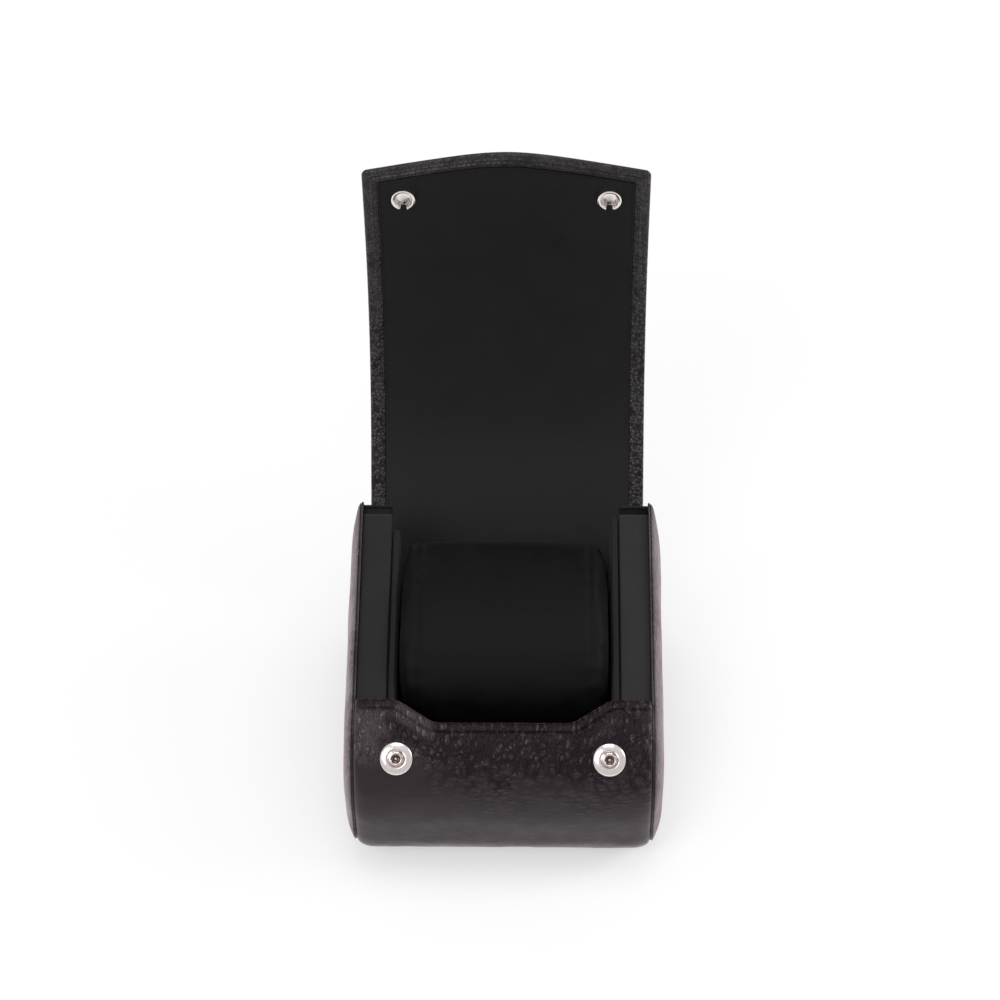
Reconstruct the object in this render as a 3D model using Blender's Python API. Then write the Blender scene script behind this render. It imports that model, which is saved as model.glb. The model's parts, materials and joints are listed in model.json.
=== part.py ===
"""Display case for one wrist watch: a leather wrap, two padded ends and a snap flap.

The wrap is one hide that starts as the notched front panel, runs under the case and
up its back, and goes on as the flap. X is across the case, -Y is the front, +Z is up.
The origin is the centre of the flat base. Sizes are in millimetres until a mesh is made.
"""

import math

import bmesh
import bpy
from mathutils import Vector

MM = 0.001

# Fits
GAP = 0.3                   # between pieces that touch

# Case outline, seen from the side
CASE_DEPTH = 101.2          # front to back along the floor
BACK_LEAN = 1.5             # how far the back leans forward by the height of the rim
PANEL_SETBACK = 29.4        # front of the case to the panel's top edge
PANEL_HEIGHT = 51.33        # floor to the panel's top edge
RIM_SLOPE = math.radians(13.3)
TOE_RADIUS = 15.0
SHOULDER_RADIUS = 26.2
CROWN_RADIUS = 3.2
HEEL_RADIUS = 12.0

# Wrap
WRAP_WIDTH = 93.0
LEATHER = 1.2
BOARD = 1.3
LINING = 0.6
TURNED_EDGE = 1.4           # leather folded over the top of the panel
NOTCH_DEPTH = 7.8
NOTCH_MARGIN = 0.5          # notch starts this far inside the tray's sides
NOTCH_SLOPE_RUN = 11.75     # across the case, from the notch's top to its floor

# Side walls and padded ends
RIM_WIDTH = 9.6
RIM_LINING = 0.6
RIM_LIFT = 0.9              # rims rise by this much more towards their back end
BACK_SHARE = 0.25           # part of a lift that moves the back's upper end outwards
INNER_BOARD = 2.3
INNER_BOARD_SETBACK = 8.2   # shorter than the rim at the back
BOARD_EDGE_ROUND = 0.5
SIDE_SETBACK = 2.2          # padded end lies this far inside the wrap's outline
SIDE_LIFT = 1.6             # its top edge rises past the rim towards the back
SIDE_LEATHER = 1.2
DOME_RISE = 4.1
DOME_RUN = 9.5
PAD_CLEARANCE = 0.3

# Cushion
CUSHION_SIDE_ROOM = 0.8     # each side, to the inner boards
CUSHION_DEPTH = 67.0
CUSHION_HEIGHT = 60.4
CUSHION_BACK = 5.0          # from the back of the case to the cushion
CUSHION_FULLNESS = 2.7      # 2 is an oval, more is squarer
CUSHION_END_ROUND = 3.2
CUSHION_CROWN = 0.8

# Flap
FLAP_SIDE_STEP = 0.25       # flap is narrower than the wrap, each side
FLAP_LEATHER = 1.4
FLAP_LINING = 0.6
HEM_WIDTH = 5.0
HINGE_HEIGHT = 23.5
FLAP_LEAN = math.radians(44.0)      # of the straight lower part, open
FLAP_LEAN_FOLD = math.radians(7.0)  # where the lid meets the tab
FLAP_LEAN_TIP = math.radians(4.0)
BACK_LENGTH = 42.3          # low hinge to the bend at the back of the rim
STRAIGHT_LENGTH = 45.0
FLAP_LENGTH = 154.0         # low hinge to the tip
TAB_LENGTH = 35.0           # bend at the front of the lid to the tip
GABLE_RISE = 7.4            # tip stands above the flap's top corners
GABLE_FLAT_HALF = 9.0

# Snaps
SNAP_INSET = 13.4           # edge of the wrap to the snaps
SNAP_ANGLE = math.radians(54.0)     # direction the studs point, above level
SOCKET_FROM_TIP = 17.2      # tip to the sockets along the flap
FLANGE_RADIUS = 5.1
FLANGE_HEIGHT = 0.7
POST_RADIUS = 2.3
POST_HEIGHT = 1.7
POST_HOLE_RADIUS = 0.9
SHANK_RADIUS = 1.4
SOCKET_RADIUS = 4.05
SOCKET_HEIGHT = 2.2
SOCKET_FLOOR = 0.5
SOCKET_BEAD = 1.0           # height of the rolled rim
SNAP_CLEARANCE = 0.4        # all round the post in its socket
CAP_RADIUS = 5.5
CAP_HEIGHT = 1.0
PIN_RADIUS = 1.2
PIN_SINK = 0.1              # pin end below the socket's floor
METAL_EDGE = 0.3            # waists and rounded edges of the snap metal
WASHER_EASE = 0.2           # extra depth of the flat washer under the curved hide

# Derived sizes
HALF_WRAP = WRAP_WIDTH / 2
HALF_FLAP = HALF_WRAP - FLAP_SIDE_STEP
SEAM = HALF_WRAP + GAP
WALL_INSET = LEATHER + GAP + BOARD + GAP
WALL_OUTER = HALF_WRAP
WALL_INNER = WALL_OUTER - RIM_WIDTH
BOARD_OUTER = WALL_INNER - GAP
BOARD_INNER = BOARD_OUTER - INNER_BOARD
TRAY_HALF = BOARD_INNER - GAP
NOTCH_TOP_HALF = TRAY_HALF - NOTCH_MARGIN
NOTCH_FLOOR_HALF = NOTCH_TOP_HALF - NOTCH_SLOPE_RUN
CUSHION_HALF = TRAY_HALF - CUSHION_SIDE_ROOM
LID_END = FLAP_LENGTH - TAB_LENGTH
SOCKET_REACH = FLAP_LENGTH - SOCKET_FROM_TIP
ORIGIN_Y = (TOE_RADIUS + CASE_DEPTH - HEEL_RADIUS) / 2
LINING_DEPTH = GAP + FLAP_LINING    # hem and lining below the hinge line
SNAP_HALF = HALF_WRAP - SNAP_INSET


# Materials

def make_material(name, colour, roughness, metallic=0.0):
    material = bpy.data.materials.new(name)
    material.use_nodes = True
    shader = material.node_tree.nodes["Principled BSDF"]
    shader.inputs["Base Color"].default_value = (*colour, 1.0)
    shader.inputs["Roughness"].default_value = roughness
    shader.inputs["Metallic"].default_value = metallic
    material.diffuse_color = (*colour, 1.0)
    return material


# Mesh building

def world(x, y, z):
    """A point of the side outline, with y counted from the front, in metres."""
    return Vector((x, y - ORIGIN_Y, z)) * MM


def add_object(name, mesh, material, pivot=None):
    """Put a mesh in the scene; one that moves hangs from the empty on its hinge line."""
    mesh.materials.append(material)
    piece = bpy.data.objects.new(name, mesh)
    bpy.context.scene.collection.objects.link(piece)
    if pivot is not None:
        for vertex in mesh.vertices:
            vertex.co -= pivot.matrix_world.translation
        piece.parent = pivot
    return piece


def mesh_from(name, points, faces):
    mesh = bpy.data.meshes.new(name)
    shape = bmesh.new()
    vertices = [shape.verts.new(point) for point in points]
    for face in faces:
        shape.faces.new([vertices[index] for index in face])
    bmesh.ops.recalc_face_normals(shape, faces=shape.faces)
    shape.to_mesh(mesh)
    shape.free()
    return mesh


def smooth(piece, angle=math.radians(35)):
    piece.data.shade_smooth()
    piece.data.set_sharp_from_angle(angle=angle)
    return piece


def lattice_mesh(name, counts, point, filled=lambda i, j, k: True):
    """The skin of the filled cells of a grid whose corners are point(i, j, k)."""
    cells = {
        (i, j, k)
        for i in range(counts[0]) for j in range(counts[1]) for k in range(counts[2])
        if filled(i, j, k)
    }
    corners = {}
    faces = []

    def corner(key):
        if key not in corners:
            corners[key] = len(corners)
        return corners[key]

    for cell in sorted(cells):
        for axis in range(3):
            for side in (0, 1):
                neighbour = list(cell)
                neighbour[axis] += 2 * side - 1
                if tuple(neighbour) in cells:
                    continue
                u, v = [a for a in range(3) if a != axis]
                ring = []
                for du, dv in ((0, 0), (1, 0), (1, 1), (0, 1)):
                    key = list(cell)
                    key[axis] += side
                    key[u] += du
                    key[v] += dv
                    ring.append(corner(tuple(key)))
                faces.append(ring)
    return mesh_from(name, [point(*key) for key in corners], faces)


def rings_mesh(name, rings):
    """Bridge closed rings of equal length and close the two ends."""
    size = len(rings[0])
    points = [point for ring in rings for point in ring]
    faces = []
    for level in range(len(rings) - 1):
        for index in range(size):
            after = (index + 1) % size
            low = level * size
            faces.append([low + index, low + after, low + size + after, low + size + index])
    faces.append(list(range(size)))
    faces.append([len(points) - size + index for index in range(size)])
    return mesh_from(name, points, faces)


def turned_mesh(name, profile, centre, axis, segments=24):
    """Turn a profile of (radius, height) pairs, from axis to axis, about a line."""
    axis = axis.normalized()
    across = axis.orthogonal().normalized()
    other = axis.cross(across)
    points = []
    rows = []
    for radius, height in profile:
        base = centre + axis * height * MM
        if radius == 0:
            rows.append([len(points)] * segments)
            points.append(base)
            continue
        rows.append(list(range(len(points), len(points) + segments)))
        for step in range(segments):
            angle = 2 * math.pi * step / segments
            spoke = across * math.cos(angle) + other * math.sin(angle)
            points.append(base + spoke * radius * MM)
    faces = []
    closed = profile[0][0] > 0
    for low, high in zip(rows, rows[1:] + ([rows[0]] if closed else [])):
        for step in range(segments):
            after = (step + 1) % segments
            ring = [low[step], low[after], high[after], high[step]]
            face = list(dict.fromkeys(ring))
            if len(face) > 2:
                faces.append(face)
    return mesh_from(name, points, faces)


def bore(piece, centre, axis, radius, length):
    """Cut a round hole of the given length, centred on a point."""
    half = length / 2
    profile = [(0, -half), (radius, -half), (radius, half), (0, half)]
    mesh = turned_mesh(piece.name + "_bore", profile, centre, axis, 16)
    cutter = add_object(piece.name + "_bore", mesh, piece.data.materials[0], piece.parent)
    cutter.hide_render = True
    cutter.display_type = "WIRE"
    cut = piece.modifiers.new("Bore", "BOOLEAN")
    cut.operation = "DIFFERENCE"
    cut.solver = "EXACT"
    cut.object = cutter


# Side outline

def crossing(a, b, c, d):
    """Where the line through a and b meets the line through c and d."""
    r = b - a
    s = d - c
    t = (c - a).cross(s) / r.cross(s)
    return a + r * t


def case_corners(inset, lift=0.0):
    """Corners of the side outline, moved in: toe, shoulder, back of the rim, heel.

    Lift raises the back end of the rim and moves the back's upper end out by a share of it.
    """
    rise = math.tan(RIM_SLOPE)
    shoulder = PANEL_HEIGHT - PANEL_SETBACK * rise
    back = CASE_DEPTH - BACK_LEAN
    corners = [
        Vector((0.0, 0.0)),
        Vector((0.0, shoulder)),
        Vector((back, shoulder + back * rise)),
        Vector((CASE_DEPTH, 0.0)),
    ]
    insets = ((inset, inset), (inset, inset - lift),
              (inset - lift * BACK_SHARE, inset), (inset, inset))
    edges = []
    for start, end, (first, last) in zip(corners, corners[1:] + corners[:1], insets):
        along = (end - start).normalized()
        inward = Vector((along.y, -along.x))
        edges.append((start + inward * first, end + inward * last))
    return [crossing(*edges[index - 1], *edges[index]) for index in range(4)]


def fillet(corner, before, after, radius, steps):
    """Points of the arc that rounds a corner, from its start to its end."""
    to_before = (before - corner).normalized()
    to_after = (after - corner).normalized()
    half = to_before.angle(to_after) / 2
    bisector = (to_before + to_after).normalized()
    centre = corner + bisector * radius / math.sin(half)
    start = corner + to_before * radius / math.tan(half) - centre
    end = corner + to_after * radius / math.tan(half) - centre
    sweep = start.angle(end)
    points = []
    for step in range(steps + 1):
        share = step / steps
        weight_start = math.sin((1 - share) * sweep) / math.sin(sweep)
        weight_end = math.sin(share * sweep) / math.sin(sweep)
        points.append(centre + start * weight_start + end * weight_end)
    return points


RADII = (TOE_RADIUS, SHOULDER_RADIUS, CROWN_RADIUS, HEEL_RADIUS)
STEPS = (7, 10, 3, 5)
SHARPEST = 0.4


def case_outline(inset, lift):
    """The whole side outline as a closed ring, moved in by a distance."""
    corners = case_corners(inset, lift)
    ring = []
    for index, corner in enumerate(corners):
        radius = max(RADII[index] - inset, SHARPEST)
        ring += fillet(corner, corners[index - 1], corners[(index + 1) % 4],
                       radius, STEPS[index])
    return ring


def panel_edge(inset):
    """The point of the panel's top edge and the direction down the panel."""
    down = Vector((-math.cos(RIM_SLOPE), -math.sin(RIM_SLOPE)))
    inward = Vector((math.sin(RIM_SLOPE), -math.cos(RIM_SLOPE)))
    return Vector((PANEL_SETBACK, PANEL_HEIGHT)) + inward * inset, down


def wrap_arcs(inset):
    """Arc points of the wrap from the panel's shoulder, under the case, to its heel."""
    toe, shoulder, crown, heel = case_corners(inset)
    run = fillet(shoulder, crown, toe, SHOULDER_RADIUS - inset, STEPS[1])
    run += fillet(toe, shoulder, heel, TOE_RADIUS - inset, STEPS[0])
    run += fillet(heel, toe, crown, HEEL_RADIUS - inset, STEPS[3])
    return run


SHOULDER_END = STEPS[1]
TOE_START = SHOULDER_END + 1
TOE_END = TOE_START + STEPS[0]
HEEL_START = TOE_END + 1
HEEL_END = HEEL_START + STEPS[3]


def back_point(inset, height):
    """A point of the case's back, moved in, at a height."""
    toe, shoulder, crown, heel = case_corners(inset)
    share = (height - heel.y) / (crown.y - heel.y)
    return heel + (crown - heel) * share


def notch_drop(x):
    """How far the panel's top edge lies below its ends."""
    share = (NOTCH_TOP_HALF - abs(x)) / (NOTCH_TOP_HALF - NOTCH_FLOOR_HALF)
    return NOTCH_DEPTH * min(1.0, max(0.0, share))


# Flap curve

def flap_frame(s):
    """Height line of the open flap: its point and lean at a distance from the hinge."""
    start = back_point(LEATHER, HINGE_HEIGHT)
    stretches = (
        (STRAIGHT_LENGTH, FLAP_LEAN, FLAP_LEAN),
        (LID_END - STRAIGHT_LENGTH, FLAP_LEAN, FLAP_LEAN_FOLD),
        (FLAP_LENGTH - LID_END, FLAP_LEAN_FOLD, FLAP_LEAN_TIP),
    )
    point = start.copy()
    for length, lean, last_lean in stretches:
        turn = (lean - last_lean) / length
        part = min(s, length)
        if turn == 0:
            point += Vector((math.sin(lean), math.cos(lean))) * part
            now = lean
        else:
            now = lean - turn * part
            point += Vector((math.cos(now) - math.cos(lean),
                             math.sin(lean) - math.sin(now))) / turn
        s -= part
        if s <= 0:
            break
    return point, now


def flap_point(x, s, depth):
    """A point of the flap; depth is from the hinge line towards the lining."""
    point, lean = flap_frame(s)
    inward = Vector((-math.cos(lean), math.sin(lean)))
    point = point + inward * depth
    return world(x, point.x, point.y)


def tip_reach(x):
    """Distance from the hinge to the flap's edge, along the flap."""
    share = max(0.0, abs(x) - GABLE_FLAT_HALF) / (HALF_FLAP - GABLE_FLAT_HALF)
    return FLAP_LENGTH - GABLE_RISE * share


def spread(start, end, count):
    return [start + (end - start) * step / count for step in range(count + 1)]


# Wrap

def wrap_columns(half):
    return [-half, -NOTCH_TOP_HALF, -NOTCH_FLOOR_HALF,
            NOTCH_FLOOR_HALF, NOTCH_TOP_HALF, half]


def wrap_strip(name, half, insets, rows, filled=lambda i, j, k: True):
    """A sheet that follows the side outline; rows are edge distances or arc indices."""
    columns = wrap_columns(half)
    runs = [wrap_arcs(inset) for inset in insets]

    def point(i, j, k):
        kind, value = rows[j]
        if kind == "edge":
            start, down = panel_edge(insets[k])
            place = start + down * (value + notch_drop(columns[i]))
        elif kind == "arc":
            place = runs[k][value]
        else:
            mitre = max(0.0, LEATHER - insets[k]) * math.tan(FLAP_LEAN / 2)
            place = back_point(insets[k], value - mitre)
        return world(columns[i], place.x, place.y)

    counts = (len(columns) - 1, len(rows) - 1, len(insets) - 1)
    return lattice_mesh(name, counts, point, filled)


def arc_rows(first, last):
    return [("arc", index) for index in range(first, last + 1)]


def build_wrap(leather, board, lining):
    """One hide with stiff boards behind it and the tray's lining on top of them."""
    board_in = LEATHER + GAP + BOARD
    top = [("edge", 0.0), ("edge", TURNED_EDGE)]
    end = [("back", HINGE_HEIGHT - GAP / 2)]
    hide = wrap_strip("wrap_leather", HALF_WRAP, (0.0, LEATHER, board_in),
                      top + arc_rows(0, HEEL_END) + end,
                      lambda i, j, k: k == 0 or j == 0)
    hide = smooth(add_object("wrap_leather", hide, leather))
    below = TURNED_EDGE + GAP
    insets = (LEATHER + GAP, board_in)
    front = wrap_strip("front_board", HALF_WRAP - GAP, insets,
                       [("edge", below)] + arc_rows(0, TOE_START))
    front = add_object("front_board", front, board)
    base = wrap_strip("base_board", HALF_WRAP - GAP, insets,
                      arc_rows(TOE_END, HEEL_START))
    add_object("base_board", base, board)
    back = wrap_strip("back_board", HALF_WRAP - GAP, insets,
                      arc_rows(HEEL_END, HEEL_END) + [("back", HINGE_HEIGHT - BOARD)])
    add_object("back_board", back, board)
    tray = wrap_strip("tray_lining", TRAY_HALF, (WALL_INSET, WALL_INSET + LINING),
                      [("edge", below)] + arc_rows(0, HEEL_END)
                      + [("back", HINGE_HEIGHT - LINING_DEPTH)])
    smooth(add_object("tray_lining", tray, lining))
    return hide, front


# Side walls

def ring_at(x, inset, lift):
    return [world(x, point.x, point.y) for point in case_outline(inset, lift)]


def pan_mesh(name, outer, inner):
    """A shell with one open side, from an outer and an inner stack of rings."""
    return rings_mesh(name, outer[::-1] + inner)


def build_wall(side, name, lining, core):
    """A thick side wall: a lined pan, open towards the padded end, with a foam core."""
    outer = [ring_at(side * WALL_OUTER, WALL_INSET, RIM_LIFT),
             ring_at(side * WALL_INNER, WALL_INSET, RIM_LIFT)]
    within = WALL_INSET + RIM_LINING
    floor = side * (WALL_INNER + RIM_LINING)
    inner = [ring_at(side * WALL_OUTER, within, RIM_LIFT), ring_at(floor, within, RIM_LIFT)]
    shell = pan_mesh("wall_lining_" + name, outer, inner)
    smooth(add_object("wall_lining_" + name, shell, lining))
    inset = within + GAP
    block = [ring_at(floor + side * GAP, inset, RIM_LIFT),
             ring_at(side * WALL_OUTER, inset, RIM_LIFT)]
    add_object("wall_core_" + name, rings_mesh("wall_core_" + name, block), core)


def build_inner_board(side, name, lining):
    """A wrapped board that stands beside the wall, cut back behind the rim."""
    inset = WALL_INSET + GAP
    crown, heel = case_corners(inset, RIM_LIFT)[2:]
    setback = Vector((INNER_BOARD_SETBACK, 0.0))

    def ring(x, extra):
        corners = case_corners(inset + extra, RIM_LIFT)
        corners[2] = crossing(corners[1], corners[2],
                              crown - setback - Vector((extra, 0)),
                              heel - setback - Vector((extra, 0)))
        corners[3] = corners[3] - setback
        points = []
        for index, corner in enumerate(corners):
            radius = max(RADII[index] - inset - extra, SHARPEST)
            points += fillet(corner, corners[index - 1], corners[(index + 1) % 4],
                             radius, STEPS[index])
        return [world(x, point.x, point.y) for point in points]

    rings = [
        ring(side * BOARD_INNER, BOARD_EDGE_ROUND),
        ring(side * (BOARD_INNER + BOARD_EDGE_ROUND), 0.0),
        ring(side * (BOARD_OUTER - BOARD_EDGE_ROUND), 0.0),
        ring(side * BOARD_OUTER, BOARD_EDGE_ROUND),
    ]
    mesh = rings_mesh("inner_board_" + name, rings)
    smooth(add_object("inner_board_" + name, mesh, lining), math.radians(50))


# Padded ends

DOME_SHARES = (0.0, 0.05, 0.15, 0.3, 0.5, 0.75, 1.0, 1.6)


def dome_height(run, rise, distance):
    """Elliptical rise from the edge to the flat of the dome."""
    share = min(1.0, distance / run)
    return rise * math.sqrt(max(0.0, 1 - (1 - share) ** 2))


def dome_rings(side, base, inset, rise, run):
    rings = [ring_at(side * base, inset, SIDE_LIFT)]
    for share in DOME_SHARES:
        distance = share * run
        x = base + SIDE_LEATHER / 2 + dome_height(run, rise - SIDE_LEATHER / 2, distance)
        rings.append(ring_at(side * x, inset + distance, SIDE_LIFT))
    return rings


def build_end(side, name, leather, foam):
    """A padded end: a domed leather cover over its foam pad."""
    outer = dome_rings(side, SEAM, SIDE_SETBACK, DOME_RISE, DOME_RUN)
    within = SIDE_SETBACK + SIDE_LEATHER
    rise = DOME_RISE - SIDE_LEATHER
    inner = dome_rings(side, SEAM, within, rise, DOME_RUN - SIDE_LEATHER)
    cover = pan_mesh("side_leather_" + name, outer, inner)
    smooth(add_object("side_leather_" + name, cover, leather))
    pad = dome_rings(side, SEAM, within + PAD_CLEARANCE, rise - PAD_CLEARANCE,
                     DOME_RUN - SIDE_LEATHER - PAD_CLEARANCE)
    add_object("side_pad_" + name, rings_mesh("side_pad_" + name, pad), foam)


# Cushion

def build_cushion(leather):
    """A crowned roll: squared oval section, ends rounded over, flat where it rests."""
    floor = WALL_INSET + LINING + GAP
    centre_y = CASE_DEPTH - CUSHION_BACK - CUSHION_DEPTH / 2
    centre_z = floor + CUSHION_HEIGHT / 2 - CUSHION_CROWN / 2
    power = 2 / CUSHION_FULLNESS
    around = 32

    def ring(x, drawn_in):
        a = CUSHION_DEPTH / 2 - drawn_in
        b = CUSHION_HEIGHT / 2 + CUSHION_CROWN / 2 - drawn_in
        points = []
        for step in range(around):
            angle = 2 * math.pi * step / around
            c, s = math.cos(angle), math.sin(angle)
            y = centre_y + a * math.copysign(abs(c) ** power, c)
            z = centre_z + b * math.copysign(abs(s) ** power, s)
            points.append(world(x, y, max(z, floor)))
        return points

    places = [1.0, 0.995, 0.975, 0.94, 0.88, 0.8, 0.6, 0.4, 0.2]
    stations = [-p for p in places] + [0.0] + places[::-1]
    rings = []
    for station in stations:
        x = station * CUSHION_HALF
        into = max(0.0, abs(x) - (CUSHION_HALF - CUSHION_END_ROUND))
        rounding = CUSHION_END_ROUND - math.sqrt(max(0.0, CUSHION_END_ROUND ** 2 - into ** 2))
        rings.append(ring(x, rounding + CUSHION_CROWN * station ** 2))
    mesh = rings_mesh("cushion", rings)
    smooth(add_object("cushion", mesh, leather), math.radians(60))


# Flap

def flap_columns(half):
    inner = HALF_FLAP - HEM_WIDTH
    return [-half, -inner, -GABLE_FLAT_HALF * 3, -GABLE_FLAT_HALF,
            GABLE_FLAT_HALF, GABLE_FLAT_HALF * 3, inner, half]


def flap_leather(name, rows, closes_tip, mitre):
    """Outer hide of one flap link, with its edges turned in as a hem."""
    columns = flap_columns(HALF_FLAP)
    depths = (-FLAP_LEATHER, 0.0, LINING_DEPTH)
    last = len(rows) - 1

    def reach(i, j, k):
        if j == 0 and k == 0:
            return rows[0] + mitre
        if not closes_tip or j < last - 1:
            return rows[j]
        return tip_reach(columns[i]) - (HEM_WIDTH if j == last - 1 else 0.0)

    def filled(i, j, k):
        if k == 0:
            return True
        if closes_tip and j == last - 1:
            return True
        side_hem = i in (0, len(columns) - 2)
        bend_relief = j == 0 or (j == last - 1 and not closes_tip)
        return side_hem and not bend_relief

    counts = (len(columns) - 1, last, 2)
    return lattice_mesh(name, counts,
                        lambda i, j, k: flap_point(columns[i], reach(i, j, k), depths[k]),
                        filled)


def flap_lining(name, rows, closes_tip):
    columns = flap_columns(HALF_FLAP - GAP)
    columns = columns[1:-1]
    columns[0] += GAP
    columns[-1] -= GAP
    depths = (GAP, LINING_DEPTH)
    last = len(rows) - 1

    def reach(i, j):
        if closes_tip and j == last:
            return tip_reach(columns[i]) - HEM_WIDTH - GAP
        return rows[j]

    return lattice_mesh(name, (len(columns) - 1, last, 1),
                        lambda i, j, k: flap_point(columns[i], reach(i, j), depths[k]))


def link_rows(start, end, relief_start, relief_end, count):
    """Row places of a link, with short first and last rows left free for the bends."""
    near = start + GAP / 2
    far = end - GAP / 2
    return [near] + spread(near + relief_start, far - relief_end, count) + [far]


def build_flap(leather, lining, pivots):
    """Three links: up the back, over the top, and the tab with its gable."""
    relief = LINING_DEPTH + GAP
    links = (
        ("back", 0.0, BACK_LENGTH, 3, pivots[0]),
        ("lid", BACK_LENGTH, LID_END, 9, pivots[1]),
        ("tab", LID_END, FLAP_LENGTH, 3, pivots[2]),
    )
    made = {}
    for name, start, end, count, pivot in links:
        tip = name == "tab"
        rows = link_rows(start, end, relief, relief, count)
        if tip:
            near = start + GAP / 2
            hem_line = tip_reach(HALF_FLAP) - HEM_WIDTH
            rows = [near] + spread(near + relief, hem_line - HEM_WIDTH, count)
            rows += [hem_line, FLAP_LENGTH]
        mitre = FLAP_LEATHER * math.tan(FLAP_LEAN / 2) if start == 0 else 0.0
        outer = flap_leather("flap_leather_" + name, rows, tip, mitre)
        outer = smooth(add_object("flap_leather_" + name, outer, leather, pivot))
        inner_rows = rows[1:-1]
        inner = flap_lining("flap_lining_" + name, inner_rows, tip)
        inner = smooth(add_object("flap_lining_" + name, inner, lining, pivot))
        made[name] = (outer, inner)
    return made["tab"]


# Snaps

def build_studs(metal, hide, front):
    """Post and flange on the panel's shoulder, riveted to a washer in the board."""
    toe, shoulder, crown = case_corners(0.0)[:3]
    arc_end = fillet(shoulder, crown, toe, SHOULDER_RADIUS, 1)[-1]
    centre = arc_end + Vector((SHOULDER_RADIUS, 0.0))
    out = Vector((-math.cos(SNAP_ANGLE), math.sin(SNAP_ANGLE)))
    place = centre + out * SHOULDER_RADIUS
    axis = Vector((0.0, out.x, out.y))
    washer_top = -(LEATHER + GAP + WASHER_EASE)
    washer_low = -(LEATHER + BOARD)
    low = GAP
    flange = low + FLANGE_HEIGHT
    post = flange + POST_HEIGHT
    neck = POST_RADIUS - METAL_EDGE
    profile = [
        (0, washer_low), (SHANK_RADIUS, washer_low), (SHANK_RADIUS, low),
        (FLANGE_RADIUS - METAL_EDGE, low), (FLANGE_RADIUS, low + METAL_EDGE),
        (FLANGE_RADIUS - METAL_EDGE, flange), (neck, flange),
        (neck, flange + POST_HEIGHT / 2), (POST_RADIUS, post - METAL_EDGE), (neck, post),
        (POST_HOLE_RADIUS, post), (POST_HOLE_RADIUS, low), (0, low),
    ]
    washer_radius = 2 * SHANK_RADIUS + GAP
    hole = SHANK_RADIUS + GAP
    washer = [(hole, washer_top), (washer_radius, washer_top),
              (washer_radius, washer_low), (hole, washer_low)]
    for side, name in ((-1, "left"), (1, "right")):
        point = world(side * SNAP_HALF, place.x, place.y)
        stud = turned_mesh("stud_" + name, profile, point, axis)
        smooth(add_object("stud_" + name, stud, metal))
        ring = turned_mesh("stud_washer_" + name, washer, point, axis, 16)
        add_object("stud_washer_" + name, ring, metal)
        bore(hide, point, axis, hole, 4 * LEATHER)
        bore(front, point - axis * (LEATHER + BOARD / 2) * MM, axis,
             washer_radius + GAP, 2 * BOARD)


def build_sockets(metal, tab, lining, pivot):
    """A hollow socket on the lining side and its cap outside, joined by a pin."""
    point_2d, lean = flap_frame(SOCKET_REACH)
    axis = Vector((0.0, -math.cos(lean), math.sin(lean)))
    bore_radius = POST_RADIUS + SNAP_CLEARANCE
    rim = GAP + SOCKET_HEIGHT
    floor = GAP + SOCKET_FLOOR
    hole = PIN_RADIUS + GAP
    waist = SOCKET_RADIUS - METAL_EDGE
    bead = rim - SOCKET_BEAD
    profile = [
        (hole, GAP), (waist, GAP), (waist, bead), (SOCKET_RADIUS, bead + METAL_EDGE),
        (waist, rim), (bore_radius, rim), (bore_radius, floor), (hole, floor),
    ]
    low = -FLAP_LEATHER - GAP
    pin_end = floor - PIN_SINK
    cap = [
        (0, pin_end), (PIN_RADIUS, pin_end), (PIN_RADIUS, low),
        (CAP_RADIUS - METAL_EDGE, low), (CAP_RADIUS, low - METAL_EDGE),
        (CAP_RADIUS * 3 / 4, low - CAP_HEIGHT * 3 / 4), (0, low - CAP_HEIGHT),
    ]
    for side, name in ((-1, "left"), (1, "right")):
        point = world(side * SNAP_HALF, point_2d.x, point_2d.y)
        ring = turned_mesh("socket_" + name, profile, point, axis)
        smooth(add_object("socket_" + name, ring, metal, pivot))
        disc = turned_mesh("socket_cap_" + name, cap, point, axis)
        smooth(add_object("socket_cap_" + name, disc, metal, pivot))
        bore(tab, point, axis, hole, 4 * FLAP_LEATHER)
        bore(lining, point, axis, SOCKET_RADIUS + GAP, 4 * LINING_DEPTH)


# Assembly

def add_pivot(name, s, parent=None):
    """An empty on the hinge line that lies at a distance along the flap."""
    point = flap_frame(s)[0]
    pivot = bpy.data.objects.new(name, None)
    bpy.context.scene.collection.objects.link(pivot)
    pivot.location = world(0.0, point.x, point.y)
    if parent is not None:
        pivot.parent = parent
        pivot.location -= parent.matrix_world.translation
    bpy.context.view_layer.update()
    return pivot


def build_case():
    for old in list(bpy.data.objects):
        bpy.data.objects.remove(old)
    grained = make_material("grained_leather", (0.022, 0.02, 0.021), 0.45)
    lining = make_material("smooth_lining", (0.014, 0.013, 0.014), 0.6)
    board = make_material("pressed_board", (0.16, 0.13, 0.1), 0.9)
    foam = make_material("foam", (0.05, 0.05, 0.05), 0.95)
    nickel = make_material("polished_nickel", (0.72, 0.7, 0.67), 0.15, 1.0)
    hide, front = build_wrap(grained, board, lining)
    for side, name in ((-1, "left"), (1, "right")):
        build_wall(side, name, lining, foam)
        build_inner_board(side, name, lining)
        build_end(side, name, grained, foam)
    build_cushion(lining)
    low = add_pivot("flap_hinge", 0.0)
    middle = add_pivot("lid_hinge", BACK_LENGTH, low)
    top = add_pivot("tab_hinge", LID_END, middle)
    tab, tab_lining = build_flap(grained, lining, (low, middle, top))
    build_studs(nickel, hide, front)
    build_sockets(nickel, tab, tab_lining, top)


build_case()
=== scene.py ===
import json
from math import atan2, copysign, cos, exp, hypot, pi, radians, sin, sqrt, tan

import bmesh
import bpy
from mathutils import Matrix, Vector, noise


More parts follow.
